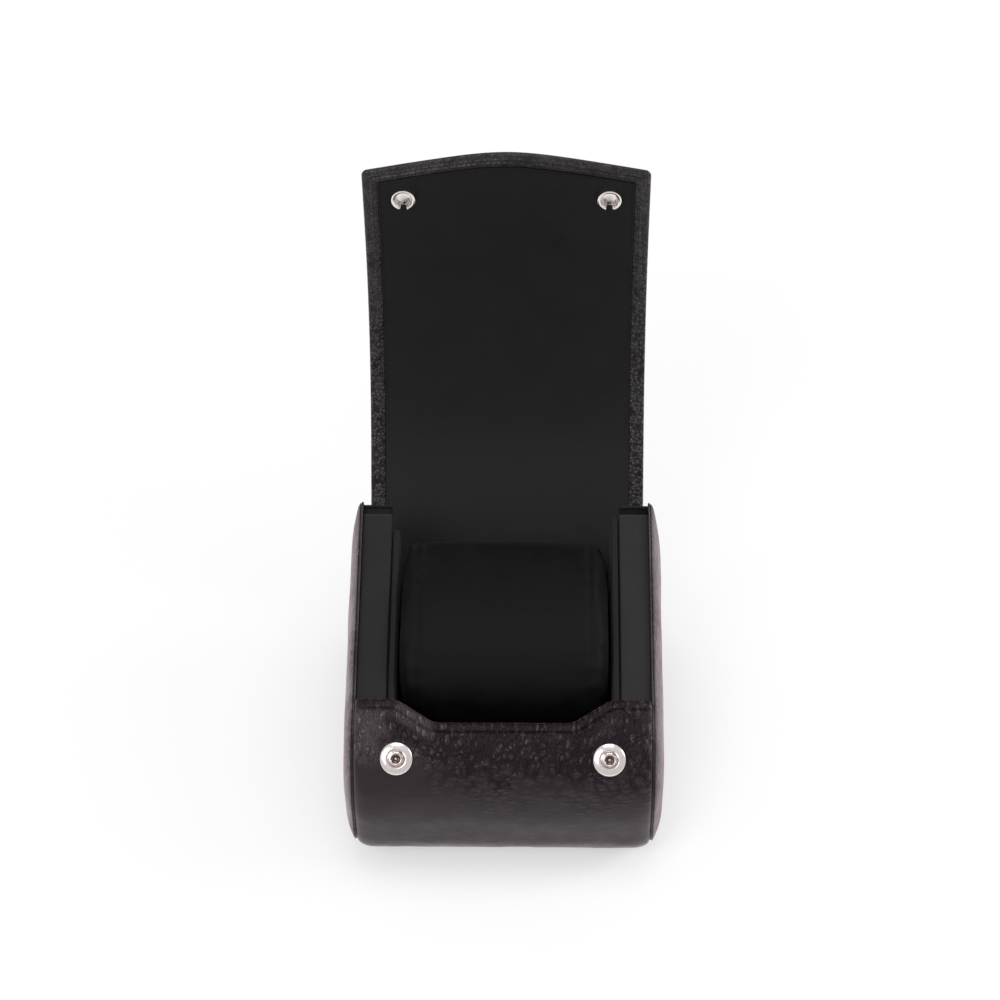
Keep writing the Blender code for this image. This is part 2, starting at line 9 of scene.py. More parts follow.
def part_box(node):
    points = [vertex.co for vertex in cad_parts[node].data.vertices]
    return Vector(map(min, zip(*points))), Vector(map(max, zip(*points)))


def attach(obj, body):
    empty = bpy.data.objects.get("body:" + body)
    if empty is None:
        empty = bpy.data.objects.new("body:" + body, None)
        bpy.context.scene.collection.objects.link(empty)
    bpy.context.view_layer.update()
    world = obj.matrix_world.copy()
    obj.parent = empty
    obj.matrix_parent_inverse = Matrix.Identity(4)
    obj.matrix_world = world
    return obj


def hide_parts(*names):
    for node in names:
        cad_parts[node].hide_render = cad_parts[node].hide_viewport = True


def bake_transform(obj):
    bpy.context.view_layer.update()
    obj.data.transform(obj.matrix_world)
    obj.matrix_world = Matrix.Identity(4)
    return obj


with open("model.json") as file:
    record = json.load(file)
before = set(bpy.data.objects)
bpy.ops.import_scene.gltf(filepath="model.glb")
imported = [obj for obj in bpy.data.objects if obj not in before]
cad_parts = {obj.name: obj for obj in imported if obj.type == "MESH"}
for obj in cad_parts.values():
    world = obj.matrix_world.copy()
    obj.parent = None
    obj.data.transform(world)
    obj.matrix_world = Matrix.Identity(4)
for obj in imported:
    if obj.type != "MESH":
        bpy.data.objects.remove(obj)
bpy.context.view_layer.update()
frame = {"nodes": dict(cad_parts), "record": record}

SCENE = bpy.context.scene

# Sizes are in millimetres, y is counted from the front of the case, and every place is
# worked out from the same named sizes as the solids.

MM = 0.001
FRONT_Y = 52.1
UV_UNIT = 100.0             # millimetres to one UV unit
HEM_UV = 300.0              # shift of the flap's turned-over side in UV space
FLAP_UV = 12.0              # the low hinge lies this far past the wrap's end in UV space
WELD = 2e-7                 # metres; closer vertices are joined
SEGMENTS = 72               # round a turned piece
SIDES = ((-1, "left"), (1, "right"))

CASE_DEPTH = 101.2
BACK_LEAN = 1.5
PANEL_SETBACK = 29.4
PANEL_HEIGHT = 51.33
RIM_SLOPE = radians(13.3)
TOE, SHOULDER, CROWN, HEEL = 15.0, 26.2, 3.2, 12.0
ARC_STEPS = (20, 28, 9, 16)  # toe, shoulder, crown, heel
RIM_END = 9.0               # carved back end of the rims, with rows at these places
RIM_END_ROWS = (7.0, 5.0, 4.3, 3.95, 3.7, 3.5, 3.3, 3.1, 2.9, 2.7, 2.4, 1.6, 0.9, 0.6, 0.4,
                0.2, 0.05)
RIM_ROWS = 18

HALF_WRAP = 46.5
LEATHER = 1.2
WRAP_THICK = 2.8            # hide and board together
TOP_ROUND = 1.2             # the panel's top edge is rounded over this much
NOTCH_DEPTH = 7.8
NOTCH_TOP_HALF = 33.5
NOTCH_FLOOR_HALF = 21.75
CREASE = 3.5                # edge to the pressed line beside it

WALL_INSET = 3.1
RIM_LIFT = 0.9              # rims rise by this much more towards their back end
BACK_SHARE = 0.25           # part of a lift that moves the back's upper end outwards
WALL_INNER = 36.9
BOARD_OUTER = 36.6
BOARD_INNER = 34.3
BOARD_SETBACK = {"left": 8.2, "right": 3.4}
SEAM = 46.8
END_INSET = 2.2
END_LIFT = 1.6
END_CROWN = 4.4
END_RISE = 4.1
END_RUN = 15.0

HALF_FLAP = 46.25
FLAP_OUTER = -1.4
HEM = 5.0
HEM_FACE = 0.78
HEM_CREASE = 3.7
HINGE_HEIGHT = 23.5
FLAP_LEAN = radians(44.0)
FOLD_LEAN = radians(7.0)
TIP_LEAN = radians(4.0)
BACK_LENGTH = 42.3
STRAIGHT = 45.0
LID_END = 119.0
FLAP_LENGTH = 154.0
GABLE = 7.4
SPLITS = (BACK_LENGTH / 2, (BACK_LENGTH + LID_END) / 2)

SNAP_HALF = 33.1
SNAP_ANGLE = radians(54.0)
SOCKET_REACH = 136.8


# Side outline

def crossing(a, b, c, d):
    r, s = b - a, d - c
    return a + r * ((c - a).cross(s) / r.cross(s))


def corners_at(inset, lift=0.0):
    """Toe, shoulder, crown and heel corners of the side outline, moved in.

    Lift raises the back end of the rim and moves the back's upper end out by a share of it.
    """
    rise = tan(RIM_SLOPE)
    shoulder = PANEL_HEIGHT - PANEL_SETBACK * rise
    back = CASE_DEPTH - BACK_LEAN
    corners = [Vector((0.0, 0.0)), Vector((0.0, shoulder)),
               Vector((back, shoulder + back * rise)), Vector((CASE_DEPTH, 0.0))]
    insets = ((inset, inset), (inset, inset - lift),
              (inset - lift * BACK_SHARE, inset), (inset, inset))
    edges = []
    for start, end, (first, last) in zip(corners, corners[1:] + corners[:1], insets):
        along = (end - start).normalized()
        inward = Vector((along.y, -along.x))
        edges.append((start + inward * first, end + inward * last))
    return [crossing(*edges[i - 1], *edges[i]) for i in range(4)]


def arc(corner, before, after, radius, steps):
    to_before = (before - corner).normalized()
    to_after = (after - corner).normalized()
    half = to_before.angle(to_after) / 2
    centre = corner + (to_before + to_after).normalized() * radius / sin(half)
    start = corner + to_before * radius / tan(half) - centre
    end = corner + to_after * radius / tan(half) - centre
    sweep = start.angle(end)
    return [
        centre + (start * sin((1 - t) * sweep) + end * sin(t * sweep)) / sin(sweep)
        for t in (step / steps for step in range(steps + 1))
    ]


def place(x, y, z):
    return Vector((x, y - FRONT_Y, z)) * MM


def smoothstep(low, high, value):
    t = min(1.0, max(0.0, (value - low) / (high - low)))
    return t * t * (3 - 2 * t)


def bell(value, width):
    return exp(-(value / width) ** 2)


def wave(x, y, z):
    return noise.noise(Vector((x, y, z)))


def columns(half, border, margin, step):
    """Places across a sheet: a step apart, and as the border says next to its edges."""
    reach = half - margin
    count = round(2 * reach / step)
    middle = [-reach + 2 * reach * i / count for i in range(count + 1)]
    return [-(half - d) for d in border] + middle + [half - d for d in border[::-1]]


def side_ring(inset, lift, setback=0.0, crown=CROWN):
    """Closed side outline, moved in, as (place, distance down the rim from its back end)."""
    radii = (TOE, SHOULDER, crown, HEEL)
    corners = corners_at(inset, lift)
    if setback:
        shift = Vector((setback, 0.0))
        corners[2] = crossing(corners[1], corners[2], corners[2] - shift, corners[3] - shift)
        corners[3] = corners[3] - shift
    arcs = [arc(corners[i], corners[i - 1], corners[(i + 1) % 4],
                max(radii[i] - inset, 0.4), ARC_STEPS[i]) for i in range(4)]
    ring = []
    for i in range(4):
        ring += [(point, None) for point in arcs[i]]
        start, end = arcs[i][-1], arcs[(i + 1) % 4][0]
        length = (end - start).length
        if i == 1:
            places = [(length - RIM_END) * step / RIM_ROWS for step in range(1, RIM_ROWS + 1)]
            places += [length - d for d in RIM_END_ROWS]
            ring += [(start.lerp(end, p / length), length - p) for p in places]
        else:
            ring += [(start.lerp(end, step / 10), None) for step in range(1, 10)]
    return ring


# Mesh building

def put(name, data):
    """A new object in the scene."""
    thing = bpy.data.objects.new(name, data)
    SCENE.collection.objects.link(thing)
    return thing


def finish_mesh(name, bm, material, sharp=35.0):
    bmesh.ops.remove_doubles(bm, verts=bm.verts, dist=WELD)
    bmesh.ops.recalc_face_normals(bm, faces=bm.faces)
    mesh = bpy.data.meshes.new(name)
    bm.to_mesh(mesh)
    bm.free()
    mesh.shade_smooth()
    mesh.set_sharp_from_angle(angle=radians(sharp))
    mesh.materials.append(material)
    return put(name, mesh)


def add_faces(bm, layer, faces, marks):
    for corners in faces:
        for loop in bm.faces.new(corners).loops:
            loop[layer].uv = marks[loop.vert]


def shell(name, us, vs, outer, inner, uv, material, turned=0.0):
    """A closed body between two sheets over one grid of (u, v).

    Turned moves the inner sheet's UVs across by this much.
    """
    bm = bmesh.new()
    layer = bm.loops.layers.uv.new("UVMap")
    sheets = []
    marks = {}
    for sheet, shift in ((outer, 0.0), (inner, turned)):
        grid = [[bm.verts.new(sheet(u, v)) for u in us] for v in vs]
        for row, v in zip(grid, vs):
            for vertex, u in zip(row, us):
                across, up = uv(u, v)
                marks[vertex] = (across + shift, up)
        sheets.append(grid)
    front, back = sheets
    faces = []
    for j in range(len(vs) - 1):
        for i in range(len(us) - 1):
            faces.append((front[j][i], front[j][i + 1], front[j + 1][i + 1], front[j + 1][i]))
            faces.append((back[j][i], back[j + 1][i], back[j + 1][i + 1], back[j][i + 1]))
        for i in (0, len(us) - 1):
            faces.append((front[j][i], front[j + 1][i], back[j + 1][i], back[j][i]))
    for i in range(len(us) - 1):
        for j in (0, len(vs) - 1):
            faces.append((front[j][i], front[j][i + 1], back[j][i + 1], back[j][i]))
    add_faces(bm, layer, faces, marks)
    return finish_mesh(name, bm, material)


def stack(name, rings, uvs, material, sharp=35.0, painted_shadings=None):
    """Closed rings of equal length, bridged, with the first and last ring closed.

    A shading value above 0 paints shade on the lining there, and one below 0 paints light on it.
    """
    bm = bmesh.new()
    layer = bm.loops.layers.uv.new("UVMap")
    depth = bm.verts.layers.float.new("painted_shading")
    marks = {}
    made = []
    for ring, marked, values in zip(rings, uvs, painted_shadings or [[0.0] * len(rings[0])] * len(rings)):
        row = [bm.verts.new(point) for point in ring]
        marks.update(zip(row, marked))
        made.append(row)
        for vertex, value in zip(row, values):
            vertex[depth] = value
    size = len(made[0])
    faces = [made[0], made[-1]]
    for low, high in zip(made, made[1:]):
        faces += [(low[i], low[(i + 1) % size], high[(i + 1) % size], high[i])
                  for i in range(size)]
    add_faces(bm, layer, faces, marks)
    return finish_mesh(name, bm, material, sharp)


def lathe(name, profile, centre, axis, material):
    """Turn (radius, height) pairs, which start and end on the axis, about a line."""
    axis = axis.normalized()
    across = axis.cross(Vector((1, 0, 0))).normalized()
    other = axis.cross(across)
    bm = bmesh.new()
    layer = bm.loops.layers.uv.new("UVMap")
    angles = [2 * pi * step / SEGMENTS for step in range(SEGMENTS)]
    spokes = [across * cos(angle) + other * sin(angle) for angle in angles]
    rows = []
    for radius, height in profile:
        base = centre + axis * height * MM
        rows.append([bm.verts.new(base + spoke * radius * MM) for spoke in spokes] if radius
                    else [bm.verts.new(base)] * SEGMENTS)
    for low, high in zip(rows, rows[1:]):
        for step in range(SEGMENTS):
            after = (step + 1) % SEGMENTS
            ring = list(dict.fromkeys((low[step], low[after], high[after], high[step])))
            if len(ring) > 2:
                for loop in bm.faces.new(ring).loops:
                    local = loop.vert.co - centre
                    loop[layer].uv = (local.dot(across) / MM / UV_UNIT,
                                      local.dot(other) / MM / UV_UNIT)
    return finish_mesh(name, bm, material, 40.0)


# Materials

class Graph:
    """The nodes of a material, or of a world, added one by one."""

    def __init__(self, name, owner=None):
        self.owner = owner or bpy.data.materials.new(name)
        self.owner.use_nodes = True
        self.tree = self.owner.node_tree

    def feed(self, socket, value):
        if isinstance(value, bpy.types.NodeSocket):
            self.tree.links.new(value, socket)
        else:
            socket.default_value = value

    def add(self, kind, inputs=None, **settings):
        node = self.tree.nodes.new("ShaderNode" + kind)
        for key, value in settings.items():
            setattr(node, key, value)
        for key, value in (inputs or {}).items():
            self.feed(node.inputs[key], value)
        return node

    def set(self, **values):
        for key, value in values.items():
            self.feed(self.tree.nodes["Principled BSDF"].inputs[key.replace("_", " ")], value)

    def math(self, operation, a, b=0.0, clamp=False):
        return self.add("Math", {0: a, 1: b}, operation=operation,
                        use_clamp=clamp).outputs[0]

    def times(self, a, b):
        return self.math("MULTIPLY", a, b)

    def plus(self, a, b, clamp=False):
        return self.math("ADD", a, b, clamp)

    def less(self, a, b, clamp=False):
        return self.math("SUBTRACT", a, b, clamp)

    def vector(self, operation, a, b):
        return self.add("VectorMath", {0: a, 1: b}, operation=operation).outputs[0]

    def length(self, a):
        return self.add("VectorMath", {0: a}, operation="LENGTH").outputs["Value"]

    def parts(self, vector):
        return self.add("SeparateXYZ", {0: vector}).outputs

    def remap(self, value, low, high, to_low=0.0, to_high=1.0):
        return self.add("MapRange", {
            "Value": value, "From Min": low, "From Max": high, "To Min": to_low,
            "To Max": to_high}, interpolation_type="SMOOTHSTEP").outputs["Result"]

    def mix(self, factor, a, b):
        return self.add("Mix", {0: factor, 2: a, 3: b}, data_type="FLOAT").outputs[0]

    def blend(self, factor, a, b):
        return self.add("Mix", {0: factor, 6: a, 7: b}, data_type="RGBA").outputs[2]

    def noise(self, vector, scale, detail=3.0, rough=0.5, output="Fac"):
        return self.add("TexNoise", {
            "Vector": vector, "Scale": scale, "Detail": detail,
            "Roughness": rough}).outputs[output]

    def millimetres(self, solid=False):
        """UV, or the place in a solid, as millimetres, and bent so that no cell is straight."""
        if solid:
            raw, unit = self.add("TexCoord").outputs["Object"], 1 / MM
        else:
            raw, unit = self.add("UVMap", uv_map="UVMap").outputs["UV"], UV_UNIT
        flat = self.vector("MULTIPLY", raw, (unit,) * 3)
        drift = self.noise(flat, 0.55, 2.0, output="Color")
        bent = self.vector("MULTIPLY", self.vector("SUBTRACT", drift, (0.5,) * 3), (0.9,) * 3)
        return flat, self.vector("ADD", flat, bent)

    def strayed(self, flat, scale, reach):
        """Both parts of a place that is moved by up to the reach, for ragged borders."""
        drift = self.noise(flat, scale, 3.0, output="Color")
        return self.parts(self.vector(
            "ADD", flat, self.vector("MULTIPLY", drift, (reach, reach, 0.0))))

    def bump(self, height, distance):
        return self.add("Bump", {"Height": height, "Distance": distance * MM,
                                           "Strength": 1.0}).outputs["Normal"]


# In the materials a flat place is in millimetres of hide, and its second part falls from 0
# at the panel's top edge and at the flap's foot.
# Pebbles drawn out sideways, then upwards: density across and up, and where that sets in.
GRAIN_SHAPES = (((0.75, 1.6), -62.0, -48.0), ((1.45, 0.52), -31.0, -17.0))
# Shares in the height: the pebbles, fine grain on lively hide, on the hem and everywhere
RELIEF, FINE, HEM_FINE, LEAST_FINE, PORES, SWAY = 1.5, 0.1, 0.4, 0.012, 0.025, 0.6
# Pale colour of the painted highlight on the front hide
PAINTED_HIGHLIGHT_HIDE = (0.056, 0.045, 0.049, 1)
HEM_DARK, HEM_LIGHT = (0.005, 0.005, 0.005, 1), (0.047, 0.045, 0.046, 1)
# Painted shade in the rims' channels, and painted light on the rims, beads and the flap's foot
PAINTED_SHADE_LINING, PAINTED_LIGHT_LINING = (0.0008, 0.0008, 0.0008, 1), (0.028, 0.026, 0.027, 1)
PAINTED_LIGHT_VALUE = -0.45                # shading value below 0 at which the lining takes the full painted light
TARNISH, WARM_METAL = (0.12, 0.075, 0.062, 1), (0.5, 0.37, 0.33, 1)


def pebbled(name, cell, depth, dark, light, strength, coat, haze, sheen, painted_light=None):
    """Soft-tanned hide: rounded pebbles and creases, as strong as the given pattern says.

    Cell and depth are the pebbles' size. With a painted light pattern it is the wrap and
    flap: the pebbles are drawn out upwards near the panel's top edge and sideways lower down,
    the pattern gives its gloss and a painted highlight, and the hem is paler with fine grain.
    """
    g = Graph(name)
    flat, warped = g.millimetres()

    def pebbles(vector, size):
        inputs = {"Vector": vector, "Scale": 1 / size}
        rim = g.add("TexVoronoi", inputs, feature="DISTANCE_TO_EDGE")
        hill = g.add("TexVoronoi", inputs, feature="F1")
        return g.plus(g.remap(rim.outputs["Distance"], 0.0, 0.28, 0.0, 0.4),
                      g.remap(hill.outputs["Distance"], 0.85, 0.0, 0.0, 0.6))

    def folds(vector, width):
        wave = g.noise(vector, 0.3, 3.0, 0.55)
        ridge = g.math("ABSOLUTE", g.less(wave, 0.5))
        return g.remap(ridge, 0.0, width)

    coarse, creases = pebbles(warped, 0.9 * cell), folds(warped, 0.25)
    gloss_and_painted_highlight = 0.0
    if painted_light:
        gloss_and_painted_highlight = painted_light(g, flat)
        up = g.parts(flat)[1]
        for shape, low, high in GRAIN_SHAPES:
            vector = g.vector("MULTIPLY", warped, (*shape, 1.0))
            share = g.remap(up, low, high)
            coarse = g.mix(share, coarse, pebbles(vector, cell))
            creases = g.mix(share, creases, folds(vector, 0.07))
    relief = g.times(coarse, g.remap(creases, 0.0, 1.0, 0.3))
    fine = pebbles(warped, cell * 0.42)
    pores = g.noise(flat, 3.4, 3.0, 0.6)
    sway = g.noise(warped, 0.13, 2.0)
    lively = strength(g, flat)
    hem = turned_over(g, flat) if painted_light else 0.0
    grit = g.plus(g.times(lively, FINE), g.times(hem, HEM_FINE))
    height = g.plus(g.times(lively, g.times(relief, RELIEF)),
                    g.plus(g.times(g.plus(grit, LEAST_FINE), fine),
                           g.plus(g.times(pores, PORES), g.times(sway, SWAY))))
    # Painted shade in the hollows between pebbles and in the hem's grain; it also lowers the coat
    # there
    valley_shade = g.plus(g.times(lively, g.less(1.0, relief)), g.times(hem, g.less(0.6, fine)), True)
    tone = g.less(g.plus(0.35, g.noise(flat, 0.09, 3.0)), valley_shade, True)
    # Painted highlight: the hide's colour is lightened where the highlight pattern says
    colour = g.blend(g.times(gloss_and_painted_highlight, 0.7), g.blend(tone, dark, light), PAINTED_HIGHLIGHT_HIDE)
    if painted_light:
        colour = g.blend(g.remap(hem, 0.0, 0.1), colour, g.blend(tone, HEM_DARK, HEM_LIGHT))
    shine = g.remap(gloss_and_painted_highlight, 0.0, 1.0, coat)
    normal = g.bump(height, depth)
    g.set(Base_Color=colour, Normal=normal, Coat_Normal=normal,
          Roughness=g.remap(g.noise(flat, 0.2, 3.0), 0.3, 0.7, 0.36, 0.5),
          Specular_IOR_Level=0.16,
          Coat_Weight=g.times(shine, g.remap(valley_shade, 0.1, 0.6, 1.0, 0.15)),
          Coat_Roughness=haze, Sheen_Weight=sheen, Sheen_Roughness=0.32,
          Sheen_Tint=(1.0, 0.6, 0.72, 1.0), Specular_Tint=(1.0, 0.76, 0.84, 1.0))
    return g.owner


def all_over(level):
    """The same grain everywhere, but for slow shifts."""
    def strength(g, flat):
        return g.remap(g.noise(flat, 0.04, 2.0), 0.36, 0.66, 0.55 * level, level)
    return strength


def by_place(g, flat):
    """Strong grain over the upper part and right of the front panel, near smooth below it.

    Under the case and on the flap the grain is even and softer, and softest on the hem.
    """
    parts = g.strayed(flat, 0.06, 22.0)
    across, down = parts[0], g.times(parts[1], -1.0)
    zone = g.math("MAXIMUM", g.remap(across, -24.0, 4.0), g.remap(down, 14.0, 0.0))
    for part, faint, full, least in ((down, 20.0, 8.0, 0.3), (down, 34.0, 18.0, 0.05),
                                     (across, 64.0, 54.0, 0.4)):
        zone = g.times(zone, g.remap(part, faint, full, least))
    patchy = g.remap(g.noise(flat, 0.11, 2.0), 0.3, 0.6, 0.6)
    strong = g.math("MAXIMUM", g.times(zone, patchy), g.remap(down, 60.0, 80.0, 0.0, 0.4))
    strong = g.times(strong, g.remap(turned_over(g, flat), 0.0, 1.0, 1.0, 0.6))
    return g.math("MAXIMUM", strong, 0.015)


def turned_over(g, flat):
    """1 on the flap's hem, and less on its upper lengths."""
    parts = g.parts(flat)
    return g.times(g.remap(parts[0], 0.3 * HEM_UV, 0.6 * HEM_UV),
                   g.remap(parts[1], -WRAP_END - 140.0, -WRAP_END - 75.0, 0.3))


def painted_highlight_patch(g, flat):
    """Painted highlight, which also raises the gloss: a patch outside the left snap and a streak
    along the notch there.
    """
    reach = 9.0
    parts = g.strayed(flat, 0.16, reach)
    across, down = g.less(parts[0], reach / 2), g.less(reach / 2, parts[1])
    patch = g.times(g.remap(across, -34.0, -40.0),
                    g.times(g.remap(down, 24.0, 15.0), g.remap(down, 1.0, 5.0)))
    streak = g.times(g.remap(down, 8.0, 4.5), g.times(g.remap(across, -37.0, -33.0),
                                                      g.remap(across, -20.0, -23.0)))
    return g.math("MAXIMUM", patch, g.times(streak, 0.8))


def lining(name, dark, light, specular, sheen=0.05, solid=False):
    """Fine smooth lining hide: a faint nap of short marks and slow cloudy shifts.

    It gets painted shade where the painted_shading value is above 0 and painted light where
    it is below 0. On sheets it also gets painted light towards the flap's foot.
    """
    g = Graph(name)
    flat, warped = g.millimetres(solid)
    nap = g.noise(warped, 2.6, 4.0, 0.65)
    cloud = g.noise(flat, 0.07, 3.0)
    speck = g.add("TexVoronoi", {"Vector": warped, "Scale": 1.7},
                  feature="DISTANCE_TO_EDGE").outputs["Distance"]
    height = g.plus(g.times(nap, 0.6), g.times(g.remap(speck, 0.0, 0.2), 0.4))
    cloudy = g.remap(cloud, 0.25, 0.75, -0.1, 1.1)
    tone = g.plus(g.times(nap, 0.4), g.times(cloudy, 0.6))
    painted_shading = g.add("Attribute", attribute_name="painted_shading").outputs["Fac"]
    # Painted shade where the shading value is above 0, painted light where it is below 0
    colour = g.blend(g.remap(painted_shading, 0.0, 1.0), g.blend(tone, dark, light), PAINTED_SHADE_LINING)
    pale = g.remap(painted_shading, 0.0, PAINTED_LIGHT_VALUE)
    if not solid:
        up = g.parts(flat)[1]
        # Painted light on the flap's lower lining, which faces up more
        foot = g.times(g.remap(up, -60.0, -20.0, 0.0, 0.35), g.remap(up, -0.5, -3.0))
        pale = g.math("MAXIMUM", foot, pale)
    g.set(Base_Color=g.blend(pale, colour, PAINTED_LIGHT_LINING),
          Roughness=g.plus(g.remap(cloud, 0.3, 0.7, 0.52, 0.64),
                           g.remap(painted_shading, 0.0, 1.0, 0.0, 0.3)),
          Normal=g.bump(height, 0.06), Specular_IOR_Level=specular,
          Sheen_Weight=sheen, Sheen_Roughness=0.4, Sheen_Tint=(1.0, 0.86, 0.9, 1.0))
    return g.owner


def nickel(name, rough, foot, hollow, aged):
    """Plated metal with faint turning marks, handling haze, and tarnish in its crevices.

    The tarnish lies in a ring at the foot of the post and inside its hollow, which are given
    as radii, and the post between them is warmer in colour.
    """
    g = Graph(name)
    flat = g.millimetres()[0]
    radius = g.length(flat)
    rings = g.math("SINE", g.times(radius, 26.0))
    haze = g.noise(flat, 0.8, 3.0)
    metal = g.blend(haze, (0.84, 0.79, 0.77, 1), (0.97, 0.93, 0.91, 1))
    ring = g.math("ABSOLUTE", g.less(radius, foot))
    ring = g.times(g.remap(ring, 0.45, 0.05), g.remap(haze, 0.4, 0.65, 0.25, 0.9))
    warm = g.times(g.remap(radius, foot + 0.2, foot - 0.4), aged)
    metal = g.blend(warm, metal, WARM_METAL)
    inside = g.times(g.remap(radius, hollow + 0.2, hollow), g.remap(radius, 0.3, 0.6, 0.25, 0.85))
    dull = g.math("MAXIMUM", ring, inside)
    g.set(Base_Color=g.blend(dull, metal, TARNISH), Metallic=1.0,
          Roughness=g.remap(haze, 0.3, 0.7, rough, rough + 0.1),
          Normal=g.bump(rings, 0.002))
    return g.owner


def hidden(name, dark, light, scale, rough):
    """Board or foam inside the leather: mottled fibres."""
    g = Graph(name)
    place_in = g.add("TexCoord").outputs["Object"]
    fibres = g.noise(place_in, scale, 5.0, 0.7)
    g.set(Base_Color=g.blend(fibres, dark, light), Roughness=rough,
          Normal=g.bump(fibres, 0.15))
    return g.owner


# Wrap: one hide from the panel's top edge, under the case and up its back

def notch_drop(x):
    """Drop of the panel's top edge, its corners eased, and the factor to offset by."""
    run = NOTCH_TOP_HALF - NOTCH_FLOOR_HALF
    ease = 1.6              # the drop is averaged over this much on either side
    steps = [x + (i - 4) / 4 * ease for i in range(9)]
    drops = [NOTCH_DEPTH * min(1.0, max(0.0, (NOTCH_TOP_HALF - abs(s)) / run)) for s in steps]
    slope = (drops[-1] - drops[0]) / (2 * ease)
    return sum(drops) / len(drops), sqrt(1 + slope * slope)


def wrap_line(inset):
    """Points of the wrap's course below its top rows, for one inset."""
    toe, shoulder, crown, heel = corners_at(inset)
    points = arc(shoulder, crown, toe, SHOULDER - inset, 30)
    low = arc(toe, shoulder, heel, TOE - inset, 24)
    back = arc(heel, toe, crown, HEEL - inset, 18)
    points += [points[-1].lerp(low[0], t) for t in (0.25, 0.5, 0.75)]
    points += low
    points += [low[-1].lerp(back[0], t / 12) for t in range(1, 12)]
    points += back
    up = (crown - heel).normalized()
    points += [back[-1] + up * step for step in (1.3, 2.6, 4.0)]
    return points


EDGE_ROWS = (0.0, 0.03, 0.12, 0.27, 0.5, 0.8, 1.2, 1.7, 2.2, 2.7, 2.95, 3.1, 3.2, 3.3, 3.4,
             3.5, 3.6, 3.7, 3.85, 4.05, 4.4, 5.0, 5.9, 7.0, 8.2, 9.4)
NOTCH_REACH = 24.0          # rows further down the panel don't follow the notch
MESH_STEP = 0.1             # from one inset to the next, down to the deepest in use
MESH_DEEPEST = 3.4
WRAP_MESH = [wrap_line(i * MESH_STEP) for i in range(36)]
WRAP_RUN = [0.0]
for before, after in zip(WRAP_MESH[0], WRAP_MESH[0][1:]):
    WRAP_RUN.append(WRAP_RUN[-1] + (after - before).length)
EDGE_TO_ARC = (WRAP_MESH[0][0] - Vector((PANEL_SETBACK, PANEL_HEIGHT))).length
WRAP_END = EDGE_TO_ARC + WRAP_RUN[-1]


HIDE = pebbled("grained_leather", 2.7, 0.45, (0.0026, 0.002, 0.0023, 1),
               (0.0175, 0.0113, 0.0136, 1), by_place, 0.52, 0.2, 0.22, painted_highlight_patch)
END_HIDE = pebbled("grained_leather_ends", 2.2, 0.3, (0.006, 0.0048, 0.0053, 1),
                   (0.024, 0.0178, 0.02, 1), all_over(0.5), 0.75, 0.3, 0.4)
LINING = lining("smooth_lining", (0.0035, 0.0032, 0.0035, 1), (0.0085, 0.0078, 0.0084, 1), 0.22)
# The cushion's leather is dark, and its colours are darkened further as painted shade for the
# deep interior
CUSHION = lining("cushion_leather", (0.002, 0.0018, 0.0019, 1), (0.0048, 0.0044, 0.0045, 1),
                 0.13, 0.02, solid=True)
NICKEL = nickel("polished_nickel", 0.16, 2.75, -0.2, 0.15)
CAP_NICKEL = nickel("polished_nickel_cap", 0.14, 9.0, -0.2, 0.0)
STUD_NICKEL = nickel("polished_nickel_stud", 0.16, 2.4, 1.3, 0.45)
BOARD = hidden("pressed_board", (0.11, 0.09, 0.07, 1), (0.2, 0.17, 0.13, 1), 900.0, 0.9)
FOAM = hidden("foam", (0.035, 0.035, 0.035, 1), (0.07, 0.07, 0.07, 1), 1500.0, 0.95)


def down_of(row):
    """Distance from the top edge of a row, which is that distance or an index on the course."""
    return EDGE_TO_ARC + WRAP_RUN[row] if isinstance(row, int) else row


def wrap_place(x, row, inset):
    """A point of the wrap on a row."""
    down = down_of(row)
    if isinstance(row, int) and down >= NOTCH_REACH:
        level = min(max(inset, 0.0), MESH_DEEPEST) / MESH_STEP
        low = int(level)
        return WRAP_MESH[low][row].lerp(WRAP_MESH[low + 1][row], level - low)
    drop, factor = notch_drop(x)
    fade = 1 - smoothstep(4.0, NOTCH_REACH, down)
    true = down * (1 + (factor - 1) * (1 - smoothstep(3.5, 10.0, down))) + drop * fade
    return along_panel(true, inset)


def along_panel(distance, inset):
    """The point at a distance down the panel from its straight top edge."""
    start = Vector((PANEL_SETBACK, PANEL_HEIGHT))
    down = Vector((-cos(RIM_SLOPE), -sin(RIM_SLOPE)))
    inward = Vector((sin(RIM_SLOPE), -cos(RIM_SLOPE)))
    if distance <= EDGE_TO_ARC:
        return start + down * distance + inward * inset
    centre = WRAP_MESH[0][0] + inward * SHOULDER
    turn = (distance - EDGE_TO_ARC) / SHOULDER
    full = radians(90) - RIM_SLOPE
    beyond = max(0.0, turn - full) * SHOULDER
    c, s = cos(min(turn, full)), sin(min(turn, full))
    radial = Vector((inward.y * s - inward.x * c, -inward.x * s - inward.y * c))
    return centre + radial * (SHOULDER - inset) + Vector((0.0, -beyond))


def roll_off(side, side_width, top, top_width):
    """0 in the middle and 1 at a border, for two borders rounded over these widths."""
    across, up = max(0.0, 1 - side / side_width), max(0.0, 1 - top / top_width)
    return 1 - sqrt(max(0.0, 1 - min(1.0, across * across + up * up)))


